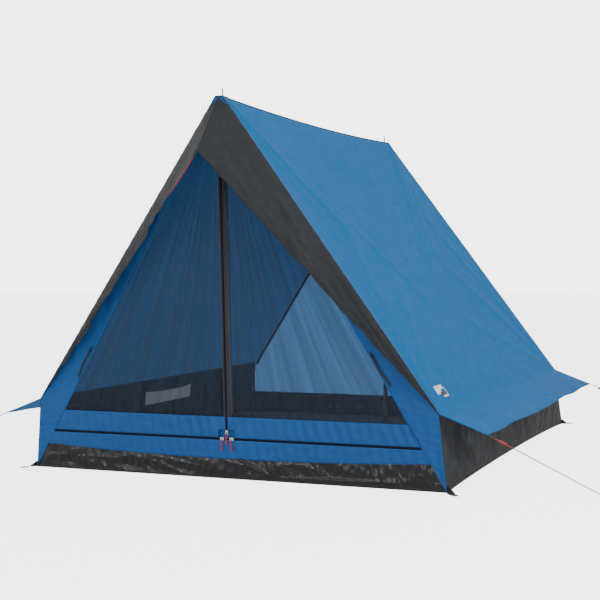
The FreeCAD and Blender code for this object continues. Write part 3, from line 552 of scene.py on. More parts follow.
roof = cloth("roof_cloth", roof_columns, 100, roof_place, (2 * half_girth, 1.87))
roof.data.materials.append(roof_blue)
give_inside_painted_light(roof, roof_inside_painted_light)
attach(roof, "tent")
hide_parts("roof_left", "roof_right", "eave_left", "eave_right")

# ------------------------------------------------------------------ ridge tape
# Black polyester webbing sewn along the ridge carries the pull between the two poles. It sags with
# the cloth, and a row of stitches runs down each side.
webbing_black = fabric("webbing_black", (0.018, 0.019, 0.022), thread=0.0022, unevenness=0.15, creases=0.1,
                       roughness=0.75, depth=0.001, hem=(0.021, 1.75, 0.004, 0.0))


def ridge_place(across, along):
    y = ridge_front_y + along * (ridge_rear_y - ridge_front_y)
    x = (across - 0.5) * 0.021
    return Vector((x, y, ridge_z + 0.0008 - 0.4 * abs(x) ** 1.2 * 0.02 - ridge_sag * bow(along)))


ridge = cloth("ridge_webbing", 8, 90, ridge_place, (0.021, 1.75), thickness=0.0012)
ridge.data.materials.append(webbing_black)
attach(ridge, "tent")
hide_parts("ridge_tape")

# ------------------------------------------------------------------ ridge end patches
# A black coated patch is sewn over each end of the ridge, round the grommet, where the pole's
# spike comes through. It wraps a little way down both slopes.
end_patch_girth = 0.070
end_patch_length = 0.045
grommet_clear = 0.0062
patch_black = fabric("patch_black", (0.010, 0.010, 0.013), thread=0.001, creases=0.5, roughness=0.6,
                     depth=0.003, hem=(end_patch_girth, end_patch_length, 0.005, 0.005))
for end, end_y, inward, reach in (("front", ridge_front_y, 1, end_patch_length),
                                  ("rear", ridge_rear_y, -1, 0.034)):
    grommet_y = ridge_front_y + 0.032 if inward > 0 else ridge_rear_y - 0.025

    def patch_place(across, along):
        girth = (across - 0.5) * end_patch_girth
        side = 1 if girth >= 0 else -1
        down = max(abs(girth) - ridge_half, 0)
        slope_down = Vector((side * (wall_top_x - ridge_half), 0, wall_top_z - ridge_z)).normalized()
        out = Vector((side * (ridge_z - wall_top_z), 0, wall_top_x - ridge_half)).normalized()
        start_y = end_y - inward * 0.001
        level_x = side * min(abs(girth), ridge_half)
        point = Vector((level_x, start_y + inward * along * reach, ridge_z + 0.0003))
        away = Vector((point.x, point.y - grommet_y, 0))
        if down == 0 and away.length < grommet_clear:
            point += away.normalized() * (grommet_clear - away.length)
        point += slope_down * down + out * (0.0010 if down else 0.0006)
        return point - Vector((0, 0, 0.0004 * down / 0.02))

    end_patch = cloth("ridge_patch_" + end, 28, 18, patch_place, (end_patch_girth, end_patch_length),
                      thickness=0.0006)
    end_patch.data.materials.append(patch_black)
    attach(end_patch, "tent")

# ------------------------------------------------------------------ roof edge piping
# A dark blue bias tape is folded over the front edge of each slope and sewn through once. It
# stands a little proud, rounded over the cloth's edge.
piping_blue = fabric("piping_blue", (0.006, 0.014, 0.035), thread=0.0009, unevenness=0.1, creases=0.15,
                     roughness=0.6, depth=0.001, hem=(0.022, 1.28, 0.004, 0.0))
for side_name, side in (("left", -1), ("right", 1)):
    slope_out = Vector((side * (ridge_z - wall_top_z), 0, wall_top_x - ridge_half)).normalized()

    def piping_place(across, along):
        z = ridge_z - 0.001 - along * (ridge_z - wall_top_z - 0.002)
        angle = math.pi * across
        back = 0.010 * (1 - math.sin(angle)) if across > 0.5 else 0.010 * (1 - math.sin(angle)) * 0.6
        rise = 0.0017 * math.cos(angle)
        edge = Vector((side * roof_x(z), front_y(z) - 0.0012 + back, z))
        puckers = 0.0004 * math.sin(along * 190 + 3 * math.sin(along * 31))
        return edge + slope_out * (rise + puckers)

    piping = cloth("roof_piping_" + side_name, 10, 260, piping_place, (0.022, 1.28), thickness=0.0005)
    piping.data.materials.append(piping_blue)
    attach(piping, "tent")
    if side > 0:
        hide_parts("front_edge_binding")

# ------------------------------------------------------------------ side walls
# Low charcoal walls of coated polyester hang slack between the eaves and the pegged floor. They
# buckle in long slanting folds, and lift off the ground a little between the pegs.
wall_charcoal = fabric("wall_charcoal", (0.0065, 0.0062, 0.0058), unevenness=0.35, creases=0.7,
                       roughness=0.45, sheen=0.05, depth=0.004, hem=(1.93, 0.255, 0.0, 0.010), specular=0.22)


def ruffle(across, along, seed):
    """Soft folds: two octaves of smooth noise, about one fold to each unit."""
    place = Vector((across, along, seed))
    return noise.noise(place) + 0.5 * noise.noise(place * 2.1 + Vector((5, 0, 0)))


def sharp(across, along, seed):
    """Sharp-edged creases, as in crumpled film."""
    return 1 - abs(noise.noise(Vector((across, along, seed)))) * 2


def ground_arc(along):
    return 0.016 * bow(along) ** 0.8


for side_name, side in (("left", -1), ("right", 1)):

    def wall_place(across, along):
        low = 0.0003 + ground_arc(across)
        z = low + along * (wall_top_z - low)
        y = front_y(z) + across * (rear_y(z) - front_y(z))
        slack = bow(along) ** 0.7 * min(bow(across) * 8, 1)
        slant = y * 7 + z * 9 * (1 if across < 0.5 else -1)
        folds = 0.011 * ruffle(slant, z * 5, 2.0 + side) + 0.005 * sharp(y * 11, z * 13, 7.0 + side) - 0.003
        top_gathers = 0.0016 * math.sin(y * 260 + 4 * noise.noise(Vector((y * 9, 0, side)))) * along ** 3
        top_gathers *= min((1 - along) * 8, 1)
        return Vector((side * (wall_x(z) + slack * folds + top_gathers - 0.004 * slack), y, z))

    wall = cloth("side_wall_cloth_" + side_name, 190, 34, wall_place, (1.93, 0.255))
    wall.data.materials.append(wall_charcoal)
    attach(wall, "tent")
    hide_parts("side_wall_" + side_name)

# ------------------------------------------------------------------ groundsheet tub
# The floor and its low front and back walls are woven polyethylene with a glossy black film on it.
# It creases sharply when it is handled, so it glints, and it is gathered into the seams above.
tub_black = fabric("tub_black", (0.0030, 0.0031, 0.0040), thread=0.0028, unevenness=0.3, creases=5.0,
                   roughness=0.22, sheen=0.0, depth=0.0006, hem=(1.55, 0.095, 0.0, 0.008), specular=0.5)
# Painted light: the floor's grey carries a faint emission, so it is lighter than its lamps make it.
floor_grey = fabric("floor_grey", (0.060, 0.056, 0.056), thread=0.0028, unevenness=0.2, creases=1.0,
                    roughness=0.45, sheen=0.0, depth=0.004, painted_glow=(0.011, 0.009, 0.010), specular=0.5)
front_out = Vector((0, -ridge_z, ridge_front_y + half_length)).normalized()
rear_out = Vector((0, ridge_z, half_length - ridge_rear_y)).normalized()
tub_front_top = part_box("tub_front")[1].z
tub_rear_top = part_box("tub_rear")[1].z
tub_dip = 0.020
tub_gap = 0.0003
tub_gather = 0.0042


def tub_top(x):
    """The front wall's top seam hangs a little at the middle."""
    reach = min(abs(x) / 0.72, 1)
    return tub_front_top - tub_dip * (1 - reach * reach)


def tub_front_place(across, along):
    x = (across - 0.5) * 2
    flat_x = x * half_width
    z = 0.002 + along * (tub_top(flat_x) - tub_gap - 0.002)
    x = x * (half_width * (1 - z / ridge_z) - tub_gap)
    crumple = 0.0050 * sharp(x * 8 + z * 9, z * 20, 1.0) + 0.0026 * sharp(x * 27 + z * 14, z * 16, 4.0)
    gathers = tub_gather * math.sin(x * 190 + 7 * noise.noise(Vector((x * 8, z * 9, 2))))
    gathers *= bow(along) ** 0.6 * along ** 0.4
    gathers *= 0.6 + noise.noise(Vector((x * 5, 3, 2)))
    dragged = crease(Vector((x, 0, z)), Vector((0.01, 0, 0.088)), Vector((0.19, 0, 0.004)), 0.007, 0.0045)
    dragged += crease(Vector((x, 0, z)), Vector((0.19, 0, 0.016)), Vector((0.66, 0, 0.024)), 0.006, 0.0030)
    lift = (crumple - 0.0025) * bow(along) ** 0.6 + gathers + dragged
    lift *= min(bow(across) * 20, 1)
    return Vector((x, front_y(z), z)) + front_out * lift


tub = cloth("tub_front_cloth", 300, 26, tub_front_place, (1.55, 0.092))
tub.data.materials.append(tub_black)
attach(tub, "tent")
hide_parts("tub_front")


def tub_rear_place(across, along):
    z = 0.0006 + along * (tub_rear_top - 0.0006)
    x = (0.5 - across) * 2 * wall_x(z)
    crumple = 0.0050 * sharp(x * 8 - z * 9, z * 18, 11.0) + 0.0026 * sharp(x * 26 + z * 13, z * 15, 14.0)
    gathers = tub_gather * math.sin(x * 180 + 7 * noise.noise(Vector((x * 8, z * 9, 9))))
    gathers *= bow(along) ** 0.6 * along ** 0.4
    gathers *= 0.6 + noise.noise(Vector((x * 5, 8, 2)))
    lift = ((crumple - 0.0025) * bow(along) ** 0.6 + gathers) * min(bow(across) * 20, 1)
    return Vector((x, rear_y(z), z)) + rear_out * lift


tub_back = cloth("tub_rear_cloth", 260, 26, tub_rear_place, (1.55, 0.107))
tub_back.data.materials.append(tub_black)
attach(tub_back, "tent")
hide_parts("tub_rear")


def floor_place(across, along):
    x = (across - 0.5) * 2 * (half_width - 0.0005)
    y = (along - 0.5) * 2 * (half_length - 0.0005)
    near_side = max(0, abs(x) - half_width + 0.05) / 0.05
    curl = ground_arc(along) * near_side ** 2
    inside = min(bow(across) * 6, 1) * min(bow(along) * 6, 1)
    crumple = 0.0035 * max(0, sharp(x * 5, y * 5, 21.0)) + 0.0016 * max(0, sharp(x * 17, y * 17, 25.0))
    return Vector((x, y, 0.0006 + curl + crumple * inside))


floor = cloth("floor_cloth", 150, 180, floor_place, (1.55, 1.90), thickness=0.0008)
floor.data.materials.append(floor_grey)
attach(floor, "tent")
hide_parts("floor_sheet")

# ------------------------------------------------------------------ rear wall
# The back wall is one triangle of the roof's cloth. Its inside is a lighter copy with painted light, an
# emission that stands in for daylight coming through it. It draws in a little between its seams, with fine
# pulls up towards the ridge.
# Painted light: the outside carries the roof's faint emission, and the inside is a lighter lit copy with a
# strong one.
rear_blue = fabric("rear_blue", (0.0035, 0.105, 0.290), unevenness=0.06, creases=0.35, roughness=0.65,
                   sheen=0.03, painted_glow=(0.002, 0.020, 0.060), specular=0.12, hem=(1.55, 1.2, 0.0, 0.010))
rear_inside_painted_light = fabric("rear_inside_painted_light", (0.045, 0.150, 0.340), unevenness=0.06, creases=0.35, roughness=0.7,
                     sheen=0.0, painted_glow=(0.090, 0.265, 0.540), specular=0.15)
seam_gap = 0.0004


def roof_edge_x(z):
    """The inside of the roof or of the side wall, whichever is at this height."""
    return (wall_x(z) if z < wall_top_z else roof_x(z)) - seam_gap


def row_on_fold(z, row_height):
    """Moves the row of a cloth's grid that is nearest the roof's fold onto it, so no gap shows."""
    return wall_top_z if abs(z - wall_top_z) <= row_height / 2 else z


rear_rows = 110


def rear_place(across, along):
    low = tub_rear_top - 0.004
    rise = ridge_z - 0.002 - low
    z = row_on_fold(low + along * rise, rise / rear_rows)
    side_share = (0.5 - across) * 2
    x = side_share * roof_edge_x(z)
    inward = 0.012 * (1 - side_share ** 2) * bow(along)
    angle = math.atan2(x, ridge_z + 0.25 - z)
    pulls = 0.0035 * math.sin(angle * 46 + 3 * noise.noise(Vector((angle * 4, z * 2, 3)))) * bow(along)
    folds = 0.004 * ruffle(x * 5, z * 5, 31.0) * (1 - side_share ** 4) * bow(along) ** 0.5
    return Vector((x, rear_y(z), z)) + rear_out * (pulls * (1 - side_share ** 4) + folds - inward)


rear = cloth("rear_wall_cloth", 120, rear_rows, rear_place, (1.55, 1.21))
rear.data.materials.append(rear_blue)
give_inside_painted_light(rear, rear_inside_painted_light)
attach(rear, "tent")
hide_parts("rear_wall")

# A dark tape is sewn inside over the seam between the back wall and each slope of the roof.
seam_tape = fabric("seam_tape", (0.008, 0.022, 0.065), thread=0.001, creases=0.3, roughness=0.7,
                   depth=0.001, hem=(0.018, 1.3, 0.003, 0.0), specular=0.2)
for side_name, side in (("left", -1), ("right", 1)):

    def seam_tape_at(across, along):
        z = wall_top_z - 0.01 + along * (ridge_z - 0.02 - wall_top_z)
        x = side * (roof_edge_x(z) - 0.003 - across * 0.016)
        return Vector((x, rear_y(z) - 0.004 - 0.002 * bow(across), z))

    tape = cloth("rear_seam_tape_" + side_name, 4, 60, seam_tape_at, (0.018, 1.3), thickness=0.0005)
    tape.data.materials.append(seam_tape)
    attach(tape, "tent")

# ------------------------------------------------------------------ front wall strips
# Bright blue strips frame the door: one up each side, a triangle over it and a low sill under it.
# They are sewn to a shorter edge, so they pucker into small folds across the seams.
# Painted light: the blue carries a faint emission that stands in for daylight through the cloth.
front_blue = fabric("front_blue", (0.010, 0.074, 0.240), unevenness=0.12, creases=0.5, roughness=0.5,
                    sheen=0.05, painted_glow=(0.0, 0.008, 0.03), specular=0.2)
door_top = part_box("door_right_mesh")[1].z
zip_z = 0.138
chain_half_gap = 0.0008
coil_reach = 0.0042


def door_edge_x(z):
    """The door panels hang on these two sloping lines, from the floor's corners to the ridge."""
    return half_width * (1 - z / ridge_z)


strip_rows = 260
for side_name, side in (("left", -1), ("right", 1)):

    def strip_place(across, along):
        low = 0.003
        z = row_on_fold(low + along * (door_top - low), (door_top - low) / strip_rows)
        inner = door_edge_x(z) + seam_gap
        x = inner + across * (roof_edge_x(z) - inner)
        wide = bow(across) ** 0.6
        slope_run = z * 1.15
        folds = 0.0050 * ruffle(slope_run * 7 + x * 5, x * 16, 41 + side) * wide
        puckers = 0.0014 * math.sin(slope_run * 210 + x * 60 + 4 * noise.noise(Vector((z * 12, 0, side))))
        base_folds = 0.004 * math.sin(x * 150 + 2 * noise.noise(Vector((x * 20, z * 4, 8))))
        base_folds *= math.exp(-(z - low) * 9)
        lift = folds + puckers * (0.3 + 0.7 * (1 - wide)) * min(bow(across) * 8, 1) + base_folds * wide
        return Vector((side * x, front_y(z), z)) + front_out * lift * min(bow(along) * 30, 1)

    strip = cloth("front_strip_" + side_name, 16, strip_rows, strip_place, (0.13, 1.25))
    strip.data.materials.append(front_blue)
    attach(strip, "tent")
    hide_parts("front_panel_" + side_name)


def peak_place(across, along):
    low = door_top + seam_gap
    z = low + along * (ridge_z - 0.0045 - low)
    x = (across - 0.5) * 2 * (roof_x(z) - seam_gap)
    lift = 0.002 * ruffle(x * 20, z * 20, 51) * bow(across) * bow(along)
    return Vector((x, front_y(z), z)) + front_out * lift


peak = cloth("front_peak_cloth", 24, 16, peak_place, (0.19, 0.115))
peak.data.materials.append(front_blue)
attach(peak, "tent")
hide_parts("front_peak")


def sill_place(across, along):
    flat_x = (across - 0.5) * 2 * 0.7196
    low = tub_top(flat_x) - 0.003
    z = low + along * (zip_z - coil_reach - low)
    x = (across - 0.5) * 2 * (door_edge_x(z) + 0.001)
    gathers = 0.0020 * math.sin(x * 170 + 5 * noise.noise(Vector((x * 7, z * 8, 5)))) * bow(along) ** 0.5
    folds = 0.0024 * ruffle(x * 16, z * 30, 61) * bow(along)
    lift = (gathers + folds) * min(bow(across) * 30, 1) + 0.0014
    return Vector((x, front_y(z), z)) + front_out * lift


sill = cloth("front_sill_cloth", 300, 10, sill_place, (1.44, 0.053))
sill.data.materials.append(front_blue)
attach(sill, "tent")
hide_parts("front_sill")

# ------------------------------------------------------------------ door panels
# Each door half is fine dark insect net over a band of blue cloth. The net is stretched by the
# poles, so it stays almost flat, while the band hangs in small gathers from its seam.
net = bpy.data.materials.new("insect_net")
net.use_nodes = True
net_tree = net.node_tree
net_shader = net_tree.nodes["Principled BSDF"]
net_place = net_tree.nodes.new("ShaderNodeTexCoord")
net_threads = []
for direction in ("X", "Y"):
    wave = node(net_tree, "ShaderNodeTexWave", bands_direction=direction)
    wave.inputs["Scale"].default_value = 0.5 / 0.0011
    wave.inputs["Distortion"].default_value = 0.2
    net_tree.links.new(net_place.outputs["UV"], wave.inputs["Vector"])
    net_threads.append(wave.outputs["Fac"])
net_cover = maths(net_tree, "MAXIMUM", net_threads[0], net_threads[1])
net_alpha = net_tree.nodes.new("ShaderNodeMapRange")
net_alpha.inputs["From Min"].default_value = 0.35
net_alpha.inputs["From Max"].default_value = 0.9
net_alpha.inputs["To Min"].default_value = 0.05
net_alpha.inputs["To Max"].default_value = 0.50
net_tree.links.new(net_cover, net_alpha.inputs["Value"])
net_flow = net_tree.nodes.new("ShaderNodeMapping")
net_flow.inputs["Scale"].default_value = (16, 0.6, 1)
net_folds = net_tree.nodes.new("ShaderNodeTexNoise")
net_folds.inputs["Scale"].default_value = 2.0
net_tree.links.new(net_place.outputs["UV"], net_flow.inputs["Vector"])
net_tree.links.new(net_flow.outputs["Vector"], net_folds.inputs["Vector"])
thicker = net_tree.nodes.new("ShaderNodeMapRange")
thicker.inputs["From Min"].default_value = 0.35
thicker.inputs["From Max"].default_value = 0.65
thicker.inputs["To Min"].default_value = 0.85
thicker.inputs["To Max"].default_value = 1.3
net_tree.links.new(net_folds.outputs["Fac"], thicker.inputs["Value"])
net_tree.links.new(maths(net_tree, "MULTIPLY", net_alpha.outputs["Result"], thicker.outputs["Result"]),
                   net_shader.inputs["Alpha"])
net_bump = net_tree.nodes.new("ShaderNodeBump")
net_bump.inputs["Distance"].default_value = 0.0003
net_tree.links.new(net_cover, net_bump.inputs["Height"])
net_tree.links.new(net_bump.outputs["Normal"], net_shader.inputs["Normal"])
net_shader.inputs["Base Color"].default_value = (0.030, 0.040, 0.062, 1)
net_shader.inputs["Roughness"].default_value = 0.7
net_shader.inputs["Specular IOR Level"].default_value = 0.2

mesh_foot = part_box("door_right_mesh")[0].z
band_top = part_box("door_right_band")[1].z
net_inner_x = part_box("door_right_mesh")[0].x
notch_x = 0.028
notch_top = 0.168

for side_name, side in (("left", -1), ("right", 1)):

    def net_place_at(across, along):
        z = mesh_foot - seam_gap + along * (door_top - mesh_foot)
        x = net_inner_x + across * (door_edge_x(z) - seam_gap - net_inner_x)
        lift = 0.006 * ruffle(x * 4, z * 3, 71 + side) * bow(across) * bow(along)
        return Vector((side * x, front_y(z), z)) + front_out * lift

    door_net = cloth("door_net_" + side_name, 60, 90, net_place_at, (0.64, 0.966), thickness=0.0003)
    door_net.data.materials.append(net)
    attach(door_net, "door_" + side_name)
    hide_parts("door_" + side_name + "_mesh")

    def band_place(across, along):
        x = coil_reach + across * (door_edge_x(band_top) - coil_reach)
        foot = zip_z + coil_reach
        if x < notch_x:
            foot = notch_top + 0.001
        z = foot + along * (band_top - foot)
        x += across * (door_edge_x(z) - seam_gap - door_edge_x(band_top))
        slant = x + 0.35 * (z - foot) * (1 if side > 0 else -0.2)
        gathers = 0.0034 * math.sin(slant * 165 + 5 * noise.noise(Vector((x * 6, z * 6, 15 + side))))
        gathers *= bow(along) ** 0.4 * (0.6 + 0.6 * noise.noise(Vector((x * 5, 1, side))))
        folds = 0.0030 * ruffle(x * 13, z * 22, 81 + side) * bow(along)
        lift = (gathers + folds) * min(bow(across) * 16, 1) + 0.0018
        return Vector((side * x, front_y(z), z)) + front_out * lift

    band = cloth("door_band_cloth_" + side_name, 190, 14, band_place, (0.65, 0.063))
    band.data.materials.append(front_blue)
    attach(band, "door_" + side_name)
    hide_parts("door_" + side_name + "_band")

# ------------------------------------------------------------------ zips
# The coil zips are navy, sewn on brown-grey woven tapes: an upright one between the door halves and
# a level one under them. Each coil is a row of small loops along the edge of its tape.
tape_brown = fabric("zip_tape_brown", (0.040, 0.037, 0.043), thread=0.0008, unevenness=0.1, creases=0.1,
                    roughness=0.8, depth=0.0006, specular=0.1)
coil_navy = bpy.data.materials.new("zip_coil_navy")
coil_navy.use_nodes = True
coil_shader = coil_navy.node_tree.nodes["Principled BSDF"]
coil_tone = coil_navy.node_tree.nodes.new("ShaderNodeTexNoise")
coil_tone.inputs["Scale"].default_value = 90
coil_ramp = coil_navy.node_tree.nodes.new("ShaderNodeMapRange")
coil_ramp.inputs["To Min"].default_value = 0.25
coil_ramp.inputs["To Max"].default_value = 0.5
coil_navy.node_tree.links.new(coil_tone.outputs["Fac"], coil_ramp.inputs["Value"])
coil_navy.node_tree.links.new(coil_ramp.outputs["Result"], coil_shader.inputs["Roughness"])
coil_shader.inputs["Base Color"].default_value = (0.003, 0.004, 0.010, 1)
coil_shader.inputs["Specular IOR Level"].default_value = 0.15
chain_width = 0.0028
coil_pitch = 0.0022


def zip_side(name, start, end, inward, body, replaced, tape_width=0.012, sunk=0.0035):
    """Half a zip from start to end along its coils: a tape drawn inward and sunk under the cloth that
    it is sewn to, and the coil on its edge."""
    length = (end - start).length

    def tape_at(across, along):
        point = start + (end - start) * along + inward * (0.001 + across * (tape_width - 0.001))
        wavy = 0.0005 * noise.noise(Vector((along * length * 40, across, 3)))
        return point + front_out * (wavy - 0.0002 - sunk * min(across * 3, 1))

    def coil_at(across, along):
        point = start + (end - start) * along
        point += inward * (across * (chain_width + chain_half_gap) - chain_half_gap)
        loop = math.sin(along * length / coil_pitch * 2 * math.pi)
        return point + front_out * (0.0006 + 0.0010 * bow(across) ** 0.5 * (0.55 + 0.45 * loop))

    tape_rows = max(int(length / 0.012), 4)
    tape = cloth(name + "_tape", 4, tape_rows, tape_at, (tape_width, length), thickness=0.0008)
    tape.data.materials.append(tape_brown)
    coil_rows = int(length / coil_pitch * 4)
    coil = cloth(name + "_coil", 4, coil_rows, coil_at, (chain_width, length), thickness=0.0006)
    coil.data.materials.append(coil_navy)
    for piece in (tape, coil):
        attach(piece, body)
    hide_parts(replaced)


def on_front(x, z):
    return Vector((x, front_y(z), z))


front_up = Vector((0, ridge_front_y + half_length, ridge_z)).normalized()
for side_name, side in (("left", -1), ("right", 1)):
    door = "door_" + side_name
    zip_side("upright_zip_" + side_name, on_front(side * chain_half_gap, notch_top),
             on_front(side * chain_half_gap, door_top), Vector((side, 0, 0)), door, door + "_zip_side",
             tape_width=0.010, sunk=0.0)
    high = zip_z + chain_half_gap
    zip_side("level_zip_upper_" + side_name, on_front(side * notch_x, high),
             on_front(side * (door_edge_x(high + 0.012) - 0.0005), high), front_up, door,
             door + "_zip_bottom")
low = zip_z - chain_half_gap
zip_end_x = door_edge_x(low) - 0.0015
zip_side("level_zip_lower", on_front(-zip_end_x, low), on_front(zip_end_x, low), -front_up, "tent",
         "sill_zip")

# ------------------------------------------------------------------ zip guard
# A small doubled flap of blue cloth stands behind the three sliders where the zips meet, and keeps
# insects and fingers out of the gap. It is sewn to the lower zip's tape.
guard_depth = 0.0085


def guard_at(across, along):
    x = (across - 0.5) * 2 * (notch_x + 0.010)
    z = zip_z - 0.010 + along * (notch_top + 0.004 - zip_z + 0.010)
    wave = 0.0008 * ruffle(x * 60, z * 60, 66)
    return Vector((x, front_y(z), z)) - front_out * (guard_depth + wave)


guard = cloth("zip_guard", 24, 14, guard_at, (0.076, 0.044), thickness=0.0009)
guard.data.materials.append(front_blue)
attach(guard, "tent")

# ------------------------------------------------------------------ zip pulls
# A soft red tag hangs from each of the three sliders. It is moulded rubber over a cord, thicker at
# its free end, with grip ribs across it.
tag_red = bpy.data.materials.new("tag_red")
tag_red.use_nodes = True
tag_shader = tag_red.node_tree.nodes["Principled BSDF"]
tag_tone = tag_red.node_tree.nodes.new("ShaderNodeTexNoise")
tag_tone.inputs["Scale"].default_value = 140
tag_mix = tag_red.node_tree.nodes.new("ShaderNodeMix")
tag_mix.data_type = "RGBA"
tag_mix.inputs["A"].default_value = (0.26, 0.003, 0.008, 1)
tag_mix.inputs["B"].default_value = (0.38, 0.008, 0.014, 1)
tag_red.node_tree.links.new(tag_tone.outputs["Fac"], tag_mix.inputs["Factor"])
tag_red.node_tree.links.new(tag_mix.outputs["Result"], tag_shader.inputs["Base Color"])
tag_shader.inputs["Roughness"].default_value = 0.5
for name in ("door_zip_pull", "sill_zip_pull_left", "sill_zip_pull_right"):
    lowest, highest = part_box(name)
    middle = (lowest + highest) / 2
    size = highest - lowest
    deselect()
    bpy.ops.mesh.primitive_cube_add(size=1, location=middle)
    tag = bpy.context.object
    tag.name = name + "_tag"
    tag.scale = (size.x, size.y * 0.57, size.z)
    settle(tag)
    bpy.ops.object.mode_set(mode="EDIT")
    bpy.ops.mesh.select_all(action="SELECT")
    bpy.ops.mesh.subdivide(number_cuts=15)
    bpy.ops.object.mode_set(mode="OBJECT")
    for vertex in tag.data.vertices:
        share = (highest.z - vertex.co.z) / size.z
        swell = 0.55 + 0.45 * min(max((share - 0.18) / 0.12, 0), 1)
        rib = 1 + 0.10 * math.cos(share * 16 * math.pi) if 0.4 < share < 0.9 else 1.0
        vertex.co.x = middle.x + (vertex.co.x - middle.x) * swell * min(rib, 1.0)
        vertex.co.y = middle.y + (vertex.co.y - middle.y) * swell * rib
    rounding = tag.modifiers.new("rounding", "BEVEL")
    rounding.width = 0.0006
    rounding.segments = 2
    rounding.limit_method = "ANGLE"
    bpy.ops.object.modifier_apply(modifier="rounding")
    bpy.ops.object.shade_smooth()
    tag.data.materials.append(tag_red)
    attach(tag, {"door_zip_pull": "door_pull"}.get(name, name.replace("zip_", "")))
    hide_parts(name)

# ------------------------------------------------------------------ door canopy
# Two charcoal panels run from the ridge's end to the tops of the side walls, and meet at a tip
# ahead of it. They are slack coated cloth with a turned hem, and hang in long lengthwise folds.
canopy_grey = fabric("canopy_grey", (0.023, 0.025, 0.031), unevenness=0.35, creases=1.0, roughness=0.5,
                     sheen=0.06, depth=0.012, hem=(0.26, 1.28, 0.014, 0.0), specular=0.3)
for side_name, side in (("left", -1), ("right", 1)):
    root_top = Vector((side * 0.0002, canopy_peak.y, canopy_peak.z))
    free_tip = Vector((side * 0.0002, canopy_tip.y, canopy_tip.z))
    corner = Vector((side * abs(canopy_low.x), canopy_low.y, canopy_low.z))
    canopy_out = (free_tip - root_top).cross(corner - root_top).normalized()
    if canopy_out.x * side < 0:
        canopy_out = -canopy_out

    def canopy_place(across, along):
        root = root_top + (corner - root_top) * along
        root.x = side * max(0, (roof_x(root.z) - 0.0006) * min(along / 0.03, 1))
        root.y -= 0.0012
        free = free_tip + (corner - free_tip) * along
        point = root + (free - root) * across
        slack = bow(along) ** 0.6 * across ** 0.7
        lengthwise = 0.011 * ruffle(across * 3.4 - along * 3.0, along * 5, 91 + side)
        crosswise = 0.0035 * sharp(across * 4 + along * 16, along * 14 - across * 2, 95 + side)
        hem_wave = 0.003 * math.sin(along * 60 + 6 * noise.noise(Vector((along * 8, 0, side))))
        hem_wave *= across ** 6
        sag = -0.012 * bow(along) * across
        lift = (lengthwise + crosswise) * slack + hem_wave * bow(along) ** 0.5 + sag
        ease = (root - free) * 0.05 * bow(along) * across
        return point + canopy_out * lift + ease

    canopy = cloth("canopy_cloth_" + side_name, 26, 200, canopy_place, (0.26, 1.28))
    canopy.data.materials.append(canopy_grey)
    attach(canopy, "tent")
    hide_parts("hood_" + side_name)

# ------------------------------------------------------------------ poles
# Each upright pole is three galvanised steel tubes with a spike through the ridge, and a black
# nylon foot. The steel has a dull, slightly mottled zinc skin.
steel = bpy.data.materials.new("pole_steel")
steel.use_nodes = True
steel_tree = steel.node_tree
steel_shader = steel_tree.nodes["Principled BSDF"]
steel_place = steel_tree.nodes.new("ShaderNodeTexCoord")
steel_flow = steel_tree.nodes.new("ShaderNodeMapping")
steel_flow.inputs["Scale"].default_value = (60, 60, 4)
steel_grain = steel_tree.nodes.new("ShaderNodeTexNoise")
steel_grain.inputs["Scale"].default_value = 1.5
steel_grain.inputs["Detail"].default_value = 4
steel_tree.links.new(steel_place.outputs["Object"], steel_flow.inputs["Vector"])
steel_tree.links.new(steel_flow.outputs["Vector"], steel_grain.inputs["Vector"])
steel_rough = steel_tree.nodes.new("ShaderNodeMapRange")
steel_rough.inputs["To Min"].default_value = 0.28
steel_rough.inputs["To Max"].default_value = 0.5
steel_tree.links.new(steel_grain.outputs["Fac"], steel_rough.inputs["Value"])
steel_tree.links.new(steel_rough.outputs["Result"], steel_shader.inputs["Roughness"])
steel_mix = steel_tree.nodes.new("ShaderNodeMix")
steel_mix.data_type = "RGBA"
steel_mix.inputs["A"].default_value = (0.20, 0.205, 0.21, 1)
steel_mix.inputs["B"].default_value = (0.33, 0.335, 0.34, 1)
steel_tree.links.new(steel_grain.outputs["Fac"], steel_mix.inputs["Factor"])
steel_tree.links.new(steel_mix.outputs["Result"], steel_shader.inputs["Base Color"])
steel_shader.inputs["Metallic"].default_value = 0.9


def tinted_copy(source, name, low_colour, high_colour):
    copy = source.copy()
    copy.name = name
    for item in copy.node_tree.nodes:
        if item.bl_idname == "ShaderNodeMix":
            item.inputs["A"].default_value = low_colour
            item.inputs["B"].default_value = high_colour
    return copy


def finish_nodes(names, material):
    """Gives CAD nodes that stay visible their material."""
    for name in names:
        part = bpy.data.objects[name]
        part.data.materials.clear()
        part.data.materials.append(material)


brass = tinted_copy(steel, "eyelet_brass", (0.48, 0.33, 0.12, 1), (0.70, 0.52, 0.24, 1))
nylon = tinted_copy(steel, "foot_nylon", (0.012, 0.012, 0.013, 1), (0.022, 0.022, 0.024, 1))
nylon.node_tree.nodes["Principled BSDF"].inputs["Metallic"].default_value = 0.0
runner_red = tinted_copy(nylon, "runner_red", (0.28, 0.006, 0.008, 1), (0.38, 0.012, 0.012, 1))
chrome = tinted_copy(steel, "slider_nickel", (0.62, 0.62, 0.62, 1), (0.80, 0.80, 0.79, 1))
for pole in ("front", "rear"):
    finish_nodes([pole + "_pole_" + part for part in ("lower", "middle", "upper", "spike")], steel)
    finish_nodes([pole + "_pole_foot"], nylon)
finish_nodes(["ridge_grommets", "corner_eyelets"], brass)
finish_nodes(["tensioner_" + end + "_" + side for end in ("front", "rear") for side in ("left", "right")],
             runner_red)
finish_nodes(["door_zip_slider", "sill_zip_slider_left", "sill_zip_slider_right"], chrome)

